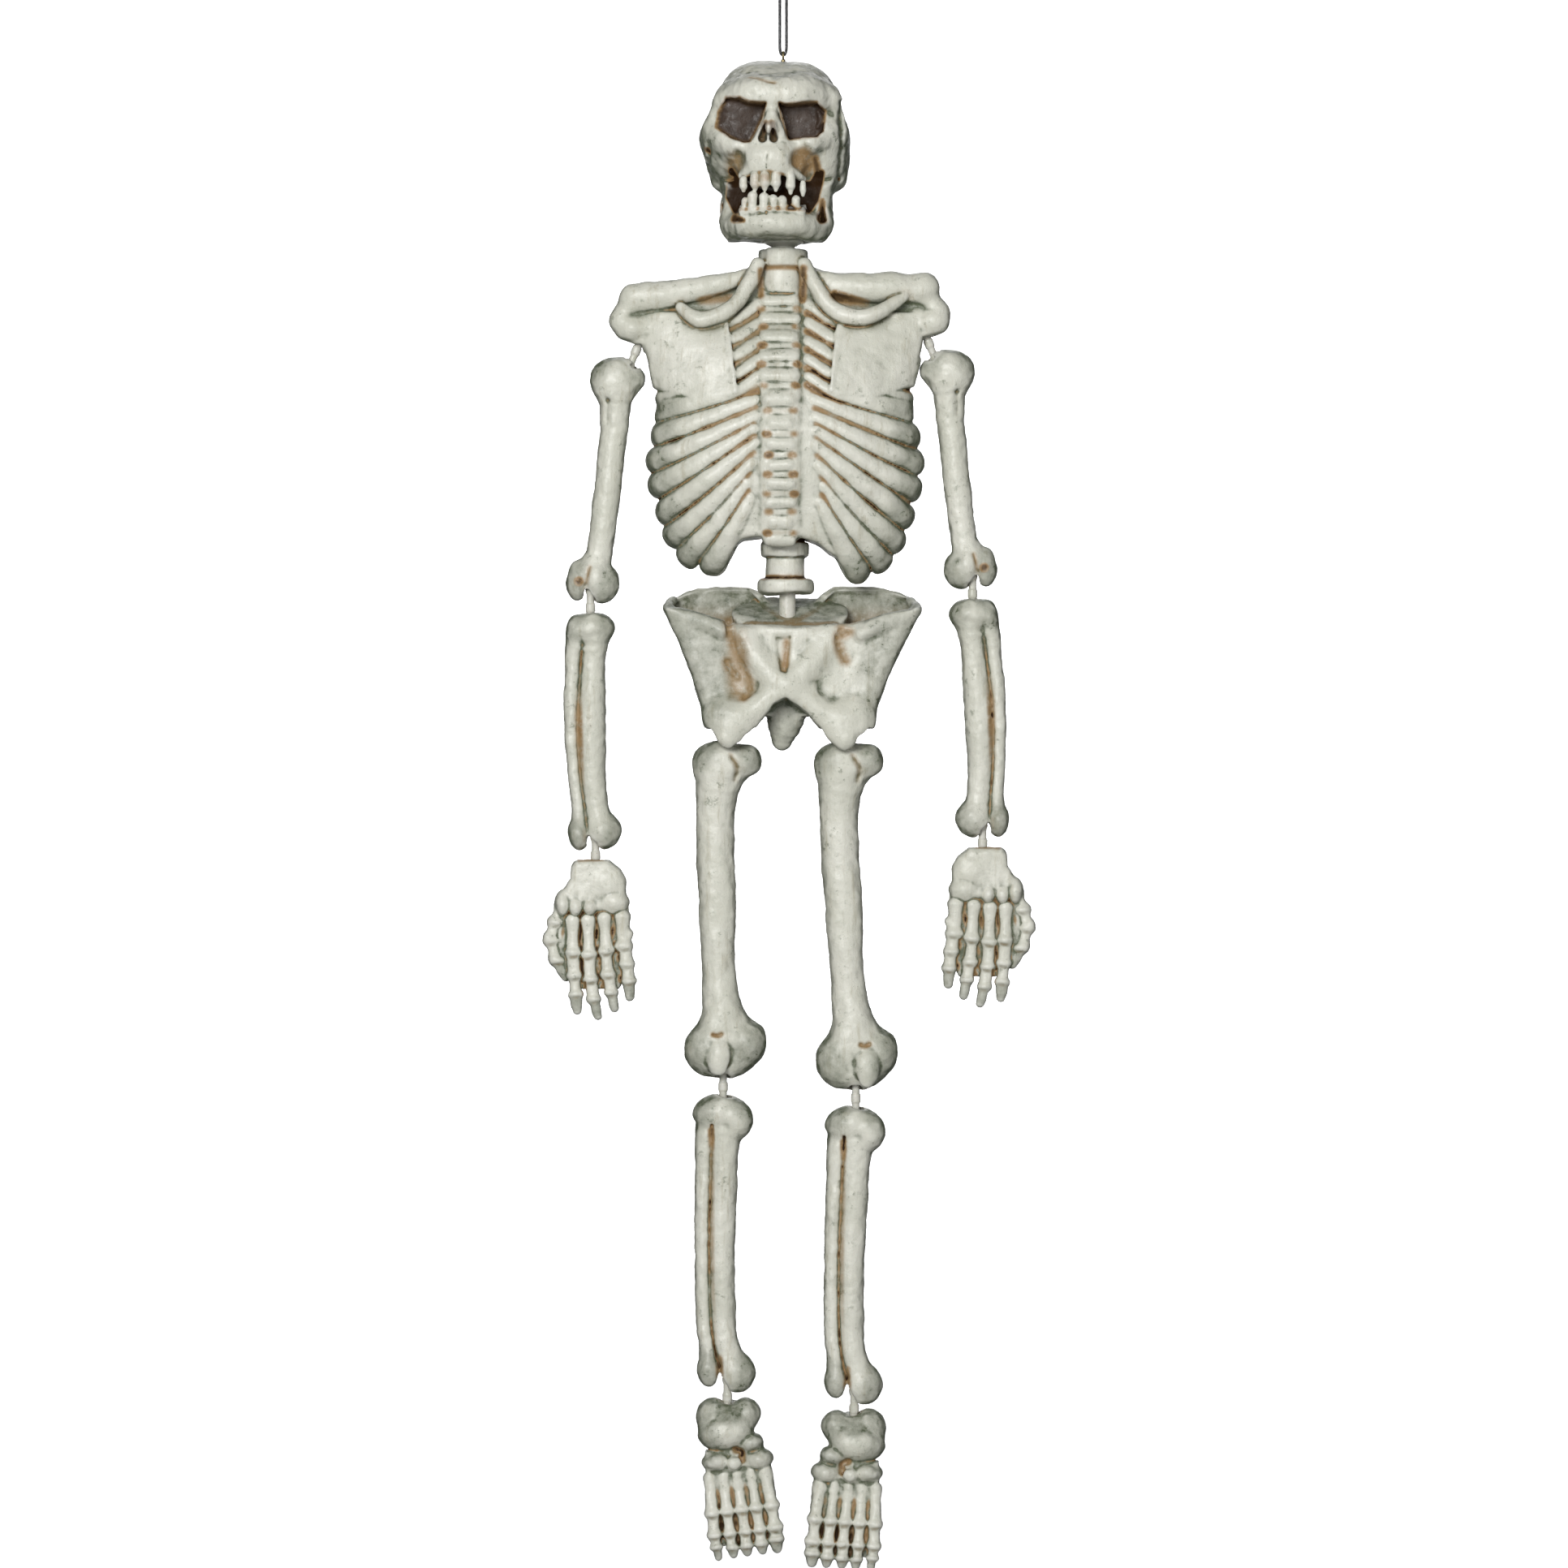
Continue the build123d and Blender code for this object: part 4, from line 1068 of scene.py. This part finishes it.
def sculpt_foot():
    """Ankle, heel, instep and toes in one moulding; +x is the big toe's side."""
    clay = Clay((-30, -24, -98), (30, 28, 12), 0.6)
    lump(clay, (-9.5, 1, 7), (10.5, 12, 11.5), 2.5)
    lump(clay, (10.5, 1, 7.5), (8.0, 11, 9.5), 4)
    lump(clay, (1, 0, 9), (11.0, 12, 8.5), 3)
    lump(clay, (-3, -3.5, 16), (17.0, 13.5, 12.0), 3)
    lump(clay, (0, 12, 13), (14, 11.5, 14), 4)
    for x, depth, wide, tall in (
        (-11, 33, 9.0, 6.0), (-0.6, 35, 6.0, 5.5), (11, 24.5, 7.6, 5.6), (14.5, 35, 8.6, 6.4),
    ):
        lump(clay, (x, -5, depth), (wide, 9.5, tall), 2.0)
    instep = [(-17, -26), (17, -24), (21, -44), (21, -84), (-19, -84), (-19, -44)]
    clay.add(slab(instep, -9.5, 6, 3), 2.0)
    recess = clay.on_surface([(1.5, -27.5), (4.5, -29.5), (4.0, -34)], 0.8)
    clay.cut(rod(recess, 1.2), 2.0, brown=0.5, reach=2.4)
    for toe in range(5):
        across = toe - 2
        joints = [
            (8.2 * across, -6.5, 42), (8.9 * across, -9.6, 63), (9.0 * across, -11, 76),
            (8.9 * across, -11.5, 83 + (1.5 if abs(across) < 2 else 0)), (8.8 * across, -11, 89),
        ]
        finger(clay, joints, (0.86, 0.84, 0.84, 0.88, 0.98)[toe])
    slits = (
        (-12.8, 45, 59, 1.2), (-4.3, 45, 60, 1.4), (4.2, 44, 60, 1.4), (12.8, 45, 58, 1.2),
        (-13.3, 66, 74, 1.0), (-4.5, 66, 75, 1.2), (4.5, 66, 75, 1.2), (13.4, 66, 73, 1.0),
    )
    gaps(clay, slits, -14)
    # painted shade near the ankle
    clay.tint(ball((0, -4, -6), (8, 12, 7)), grime=0.85, reach=5.0)
    shade_bone_ends(clay, (6, 14), (20, 17))
    return finish_bone(clay)


def sculpt_limb_pin():
    """A stem with a round head at each end and a collar in the gap; its upper hole is at 0."""
    clay = Clay((-5.5, -5.5, -PIN_LENGTH - 13), (5.5, 5.5, 13), 0.4)
    ends = [(0, 0, PIN_REACH), (0, 0, -PIN_LENGTH - PIN_REACH)]
    clay.add(rod(ends, PIN_RADIUS), 1)
    for end in ends:
        clay.add(ball(end, PIN_HEAD), 1.5)
    clay.add(drum(0, -1.2, 1.2 - PIN_LENGTH, 2.9, 0.8), 0.8)
    return clay


# ---------------------------------------------------------------- pieces
def add_piece(name, points, faces, shades, body, node, material, slot="bone_plastic"):
    """A clay mesh, in millimetres, as a piece that stands for a CAD node."""
    mesh = bpy.data.meshes.new(name)
    mesh.from_pydata((points / 1000).tolist(), [], faces)
    mesh.shade_smooth()
    for key, values in shades.items():
        layer = mesh.attributes.new(key, "FLOAT", "POINT")
        layer.data.foreach_set("value", np.asarray(values, np.float32))
    # flank: 0 where the surface faces front or back, 1 where it faces sideways; the material paints
    # shade with it
    facing = np.zeros(len(mesh.vertices) * 3, np.float32)
    mesh.vertices.foreach_get("normal", facing)
    layer = mesh.attributes.new("flank", "FLOAT", "POINT")
    layer.data.foreach_set("value", 1 - np.abs(facing.reshape(-1, 3)[:, 1]))
    piece = bpy.data.objects.new(name, mesh)
    bpy.context.scene.collection.objects.link(piece)
    mesh.materials.append(material)
    smoothing = piece.modifiers.new("smoothing", "SMOOTH")
    smoothing.factor = 0.5
    smoothing.iterations = 2
    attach(piece, body)
    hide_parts(node)


PIN_SPANS = {  # which two joints each pin hangs between
    "shoulder": ("shoulder_lift", "arm_swing"), "elbow": ("elbow_bend", "forearm_turn"),
    "wrist": ("wrist_bend", "hand_turn"), "hip": ("hip_swing", "thigh_turn"),
    "knee": ("knee_bend", "shin_turn"), "ankle": ("ankle_bend", "foot_turn"),
}


def make_pins(material):
    """The twelve pins that the limbs hang on."""
    pin = sculpt_limb_pin().mesh()
    for name in SIDES:
        for place, (upper, lower) in PIN_SPANS.items():
            top, bottom = JOINTS[f"{name}_{upper}"], JOINTS[f"{name}_{lower}"]
            place_bone(
                f"{name}_{place}_pin", pin, top, bottom, PIN_LENGTH, 1, material, "stem", "pin_plastic"
            )


def place_bone(
    name, clay_mesh, top, bottom, nominal, side, material, kind="bone", slot="bone_plastic"
):
    """Puts clay of the nominal length between two (x, z) places; side -1 mirrors it."""
    points, faces, shades = clay_mesh
    axis = (np.array(bottom) - np.array(top)) / nominal
    across = np.array([-axis[1], axis[0]]) / np.hypot(*axis)
    placed = points.copy()
    placed[:, 0] = top[0] + side * points[:, 0] * across[0] - points[:, 2] * axis[0]
    placed[:, 2] = top[1] + side * points[:, 0] * across[1] - points[:, 2] * axis[1]
    if side < 0:
        faces = [face[::-1] for face in faces]
    add_piece(f"{name}_{kind}", placed, faces, shades, name, name, material, slot)


def make_limbs(material):
    """Six bones on each side, hung between the frame's joints."""
    humerus = sculpt_humerus().mesh()
    forearm = sculpt_forearm().mesh()
    shin = sculpt_shin().mesh()
    hand = sculpt_hand().mesh()
    foot = sculpt_foot().mesh()
    foot_lean = {"right": radians(8), "left": radians(5)}
    kneecap = {"right": -3.0, "left": 7.0}
    for name, side in SIDES.items():
        at = {key: JOINTS[f"{name}_{key}"] for span in PIN_SPANS.values() for key in span}
        shoulder = (at["arm_swing"][0] + side * HUMERUS_OFFSET, at["arm_swing"][1])
        wrist = at["hand_turn"]
        below_wrist = (wrist[0], wrist[1] - 1)
        femur = sculpt_femur(kneecap[name]).mesh()
        ankle = at["foot_turn"]
        lean = foot_lean[name]
        below_ankle = (ankle[0] - side * sin(lean), ankle[1] - cos(lean))
        for bone_name, clay_mesh, top, bottom, length, mirror in (
            ("humerus", humerus, shoulder, at["elbow_bend"], HUMERUS_LENGTH, side),
            ("forearm", forearm, at["forearm_turn"], at["wrist_bend"], FOREARM_LENGTH, side),
            ("hand", hand, wrist, below_wrist, 1, side),
            ("femur", femur, at["thigh_turn"], at["knee_bend"], FEMUR_LENGTH, 1),
            ("shin", shin, at["shin_turn"], at["ankle_bend"], SHIN_LENGTH, 1),
            ("foot", foot, ankle, below_ankle, 1, -side),
        ):
            place_bone(f"{name}_{bone_name}", clay_mesh, top, bottom, length, mirror, material)


# ---------------------------------------------------------------- materials
class Paint:
    """A node material under construction."""

    def __init__(self, name):
        self.material = bpy.data.materials.new(name)
        self.material.use_nodes = True
        self.nodes = self.material.node_tree.nodes
        self.links = self.material.node_tree.links
        self.shader = self.nodes["Principled BSDF"]
        self.where = self.nodes.new("ShaderNodeTexCoord").outputs["Object"]

    def feed(self, socket, value):
        """Links an output into a socket, or sets a constant there."""
        if isinstance(value, bpy.types.NodeSocket):
            self.links.new(value, socket)
        elif isinstance(value, tuple):
            socket.default_value = (*value, 1.0)[: len(socket.default_value)]
        else:
            socket.default_value = value

    def set(self, name, value):
        """Feeds one of the shader's inputs."""
        self.feed(self.shader.inputs[name], value)

    def attribute(self, name):
        """A value that each point of the mesh carries."""
        node = self.nodes.new("ShaderNodeAttribute")
        node.attribute_name = name
        return node.outputs["Fac"]

    def noise(self, scale, detail=3.0, stretch=(1.0, 1.0, 1.0), roughness=0.6):
        """A noise value about 0.5; stretch below 1 draws it out along that axis."""
        mapping = self.nodes.new("ShaderNodeMapping")
        self.links.new(self.where, mapping.inputs["Vector"])
        mapping.inputs["Scale"].default_value = stretch
        node = self.nodes.new("ShaderNodeTexNoise")
        self.links.new(mapping.outputs["Vector"], node.inputs["Vector"])
        node.inputs["Scale"].default_value = scale
        node.inputs["Detail"].default_value = detail
        node.inputs["Roughness"].default_value = roughness
        return node.outputs["Fac"]

    def between(self, value, low, high, to_low=0.0, to_high=1.0):
        """Maps low..high to to_low..to_high, smoothly and without overshoot."""
        node = self.nodes.new("ShaderNodeMapRange")
        node.interpolation_type = "SMOOTHSTEP"
        self.feed(node.inputs["Value"], value)
        node.inputs["From Min"].default_value = low
        node.inputs["From Max"].default_value = high
        node.inputs["To Min"].default_value = to_low
        node.inputs["To Max"].default_value = to_high
        return node.outputs["Result"]

    def sum(self, a, b, operation="ADD"):
        """a + b, or another operation on them, kept within 0..1."""
        node = self.nodes.new("ShaderNodeMath")
        node.operation = operation
        node.use_clamp = True
        self.feed(node.inputs[0], a)
        self.feed(node.inputs[1], b)
        return node.outputs["Value"]

    def times(self, a, b):
        """a times b, kept within 0..1."""
        return self.sum(a, b, "MULTIPLY")

    def mix(self, factor, a, b):
        """Colour a where factor is 0 and b where it is 1."""
        node = self.nodes.new("ShaderNodeMix")
        node.data_type = "RGBA"
        self.feed(node.inputs["Factor"], factor)
        self.feed(node.inputs[6], a)
        self.feed(node.inputs[7], b)
        return node.outputs[2]

    def bump(self, height, distance, strength):
        """Fine relief, distance metres deep."""
        node = self.nodes.new("ShaderNodeBump")
        node.inputs["Distance"].default_value = distance
        node.inputs["Strength"].default_value = strength
        self.feed(node.inputs["Height"], height)
        self.links.new(node.outputs["Normal"], self.shader.inputs["Normal"])


def bone_material():
    """Satin ivory plastic with painted grey-green shade in its hollows and on its sides, painted
    highlights on its ridges, and brown stain in its cracks.
    """
    paint = Paint("bone_plastic_painted")
    broad = paint.noise(22.0, 3.0)
    blotch = paint.noise(85.0, 5.0)
    mottle = paint.noise(210.0, 5.0, roughness=0.7)
    fine = paint.noise(560.0, 4.0)
    streak = paint.noise(170.0, 5.0, (1.0, 1.0, 0.13), 0.7)

    ivory = paint.mix(paint.between(broad, 0.35, 0.65), (0.70, 0.70, 0.60), (0.80, 0.795, 0.70))
    ivory = paint.mix(paint.between(mottle, 0.50, 0.72, 0.0, 0.55), ivory, (0.56, 0.575, 0.475))
    ivory = paint.mix(paint.between(streak, 0.54, 0.72, 0.0, 0.55), ivory, (0.47, 0.44, 0.32))

    hollow = paint.attribute("hollow")
    deep = paint.attribute("deep")
    flank = paint.attribute("flank")
    # Painted shade: grey-green darkening in hollows (deep, hollow), on sideways-facing surfaces
    # (flank) and on the painted-shade layer; the veins add random grey-green tone
    shade_and_veins = paint.between(deep, -0.05, 0.45, 0.0, 0.8)
    shade_and_veins = paint.sum(shade_and_veins, paint.between(hollow, 0.0, 0.22, 0.0, 0.9))
    shade_and_veins = paint.sum(shade_and_veins, paint.between(flank, 0.24, 0.85, 0.0, 0.80))
    patches = paint.between(blotch, 0.3, 0.65, 0.6, 1.0)
    shade_and_veins = paint.sum(shade_and_veins, paint.times(paint.attribute("grime"), patches))
    veins = paint.times(paint.between(mottle, 0.56, 0.66, 0.0, 0.5), paint.between(blotch, 0.5, 0.62))
    shade_and_veins = paint.sum(shade_and_veins, veins)
    shade_and_veins = paint.times(shade_and_veins, paint.between(mottle, 0.28, 0.60, 0.66, 1.0))
    # the grey-green of the painted shade and the veins
    colour = paint.mix(shade_and_veins, ivory, (0.112, 0.132, 0.078))

    crack = paint.times(
        paint.between(hollow, 0.16, 0.42, 0.0, 0.9), paint.between(broad, 0.42, 0.58, 0.25, 1.0)
    )
    stain = paint.times(paint.attribute("brown"), paint.between(mottle, 0.28, 0.52, 0.55, 1.0))
    brown = paint.sum(stain, crack)
    colour = paint.mix(paint.between(brown, 0.0, 0.55), colour, (0.37, 0.235, 0.105))
    colour = paint.mix(paint.between(brown, 0.40, 1.0), colour, (0.030, 0.014, 0.005))
    specks = paint.between(fine, 0.66, 0.76)
    specks = paint.times(specks, paint.between(streak, 0.46, 0.58, 0.1, 0.6))
    colour = paint.mix(specks, colour, (0.17, 0.15, 0.10))
    # painted highlight: convex ridges lightened
    ridge_highlight = paint.between(hollow, -0.30, -0.08, 0.45, 0.0)
    colour = paint.mix(ridge_highlight, colour, (0.84, 0.84, 0.77))
    film = paint.mix(paint.between(blotch, 0.4, 0.6), (0.068, 0.046, 0.034), (0.047, 0.031, 0.022))
    colour = paint.mix(paint.attribute("dark"), colour, film)

    paint.set("Base Color", colour)
    rough = paint.between(mottle, 0.3, 0.7, 0.28, 0.46)
    rough = paint.sum(rough, paint.times(shade_and_veins, 0.18))
    paint.set("Roughness", rough)
    paint.set("Subsurface Weight", 0.04)
    paint.set("Subsurface Radius", (0.003, 0.0025, 0.002))
    paint.set("Specular IOR Level", paint.between(brown, 0.4, 1.0, 0.5, 0.1))
    paint.set("Coat Weight", paint.between(brown, 0.3, 0.9, 0.2, 0.0))
    paint.set("Coat Roughness", 0.28)
    relief = paint.sum(paint.times(mottle, 0.5), paint.times(fine, 0.2))
    relief = paint.sum(relief, paint.times(streak, 0.35))
    paint.bump(relief, 0.0014, 0.8)
    return paint.material


def pin_material():
    """Semi-clear ivory plastic, browned where paint has run down."""
    paint = Paint("pin_plastic_clear")
    fine = paint.noise(500.0, 3.0)
    blotch = paint.noise(160.0, 3.0)
    colour = paint.mix(paint.between(blotch, 0.35, 0.65), (0.62, 0.62, 0.53), (0.72, 0.71, 0.64))
    colour = paint.mix(paint.between(fine, 0.60, 0.75, 0.0, 0.6), colour, (0.30, 0.20, 0.11))
    paint.set("Base Color", colour)
    paint.set("Roughness", paint.between(blotch, 0.3, 0.7, 0.22, 0.38))
    paint.set("Subsurface Weight", 0.35)
    paint.set("Subsurface Radius", (0.004, 0.0035, 0.003))
    paint.bump(fine, 0.0003, 0.6)
    return paint.material


def brass_material():
    """Dull, darkened brass wire."""
    paint = Paint("eyelet_brass")
    fine = paint.noise(900.0, 4.0)
    broad = paint.noise(300.0, 3.0)
    colour = paint.mix(paint.between(broad, 0.35, 0.65), (0.20, 0.16, 0.08), (0.40, 0.33, 0.18))
    colour = paint.mix(paint.between(fine, 0.55, 0.75, 0.0, 0.7), colour, (0.07, 0.07, 0.045))
    paint.set("Base Color", colour)
    paint.set("Metallic", 0.9)
    paint.set("Roughness", paint.between(fine, 0.3, 0.7, 0.30, 0.55))
    paint.bump(fine, 0.0002, 0.6)
    return paint.material


def cord_material():
    """Glossy black cord with a faint braid."""
    paint = Paint("cord_black")
    braid = paint.noise(1500.0, 2.0, (1.0, 1.0, 0.5))
    colour = paint.mix(paint.between(braid, 0.4, 0.7), (0.010, 0.010, 0.011), (0.035, 0.035, 0.037))
    paint.set("Base Color", colour)
    paint.set("Roughness", paint.between(braid, 0.3, 0.7, 0.22, 0.40))
    paint.bump(braid, 0.0003, 0.7)
    return paint.material


def repaint_node(node, material):
    """Gives a CAD node that stays a finished material."""
    slots = frame["nodes"][node].data.materials
    slots.clear()
    slots.append(material)
    frame["nodes"][node].data.shade_smooth()


# ---------------------------------------------------------------- studio
def make_studio():
    """A sheet of pale paper far behind the figure, and big soft lights."""
    paint = Paint("studio_paper")
    grain = paint.noise(8.0, 2.0)
    colour = paint.mix(grain, (0.90, 0.90, 0.90), (0.93, 0.93, 0.93))
    paint.set("Base Color", colour)
    paint.set("Roughness", 0.9)
    middle = Vector((0, 0, -0.48))
    far = 6.5
    half = 1.7
    vertices = [(x, far, -0.49 + z) for x in (-half, half) for z in (-half, half)]
    mesh = bpy.data.meshes.new("studio_paper")
    mesh.from_pydata(vertices, [], [(0, 2, 3, 1)])
    mesh.materials.append(paint.material)
    paper = bpy.data.objects.new("studio_paper", mesh)
    bpy.context.scene.collection.objects.link(paper)

    for name, place, size, power in (
        ("key", (-0.8, -2.9, 0.4), 1.2, 64.0),
        ("fill", (1.8, -2.6, -0.2), 2.2, 12.0),
        ("low_fill", (0.2, -2.6, -1.6), 2.0, 9.0),
        ("rear", (0.0, 2.6, 1.3), 2.0, 22.0),
        ("backdrop_left", (-1.9, 4.2, 0.2), 1.5, 110.0),
        ("backdrop_right", (1.9, 4.2, 0.2), 1.5, 110.0),
    ):
        data = bpy.data.lights.new(name, "AREA")
        data.shape = "DISK"
        data.size = size
        data.energy = power
        light = bpy.data.objects.new(name, data)
        light.location = place
        aim = Vector((0, far, -0.5)) if "backdrop" in name else middle
        light.rotation_euler = (aim - light.location).to_track_quat("-Z", "Y").to_euler()
        bpy.context.scene.collection.objects.link(light)

    world = bpy.data.worlds.new("studio")
    world.use_nodes = True
    background = world.node_tree.nodes["Background"]
    background.inputs["Color"].default_value = (1.0, 1.0, 1.0, 1.0)
    background.inputs["Strength"].default_value = 0.12
    bpy.context.scene.world = world
    bpy.context.scene.view_settings.view_transform = "Standard"


# ---------------------------------------------------------------- the figure
make_camera()
cord = make_cord()
cord.data.materials.append(cord_material())
bone = bone_material()
make_limbs(bone)
add_piece("skull_bone", *sculpt_skull().mesh(), "head", "skull", bone)
add_piece("torso_bone", *sculpt_torso().mesh(), "torso", "torso", bone)
add_piece("pelvis_bone", *sculpt_pelvis().mesh(), "pelvis", "pelvis", bone)
pins = pin_material()
make_pins(pins)
repaint_node("waist_pin", pins)
repaint_node("neck_plug", bone)
repaint_node("crown_eyelet", brass_material())
make_studio()
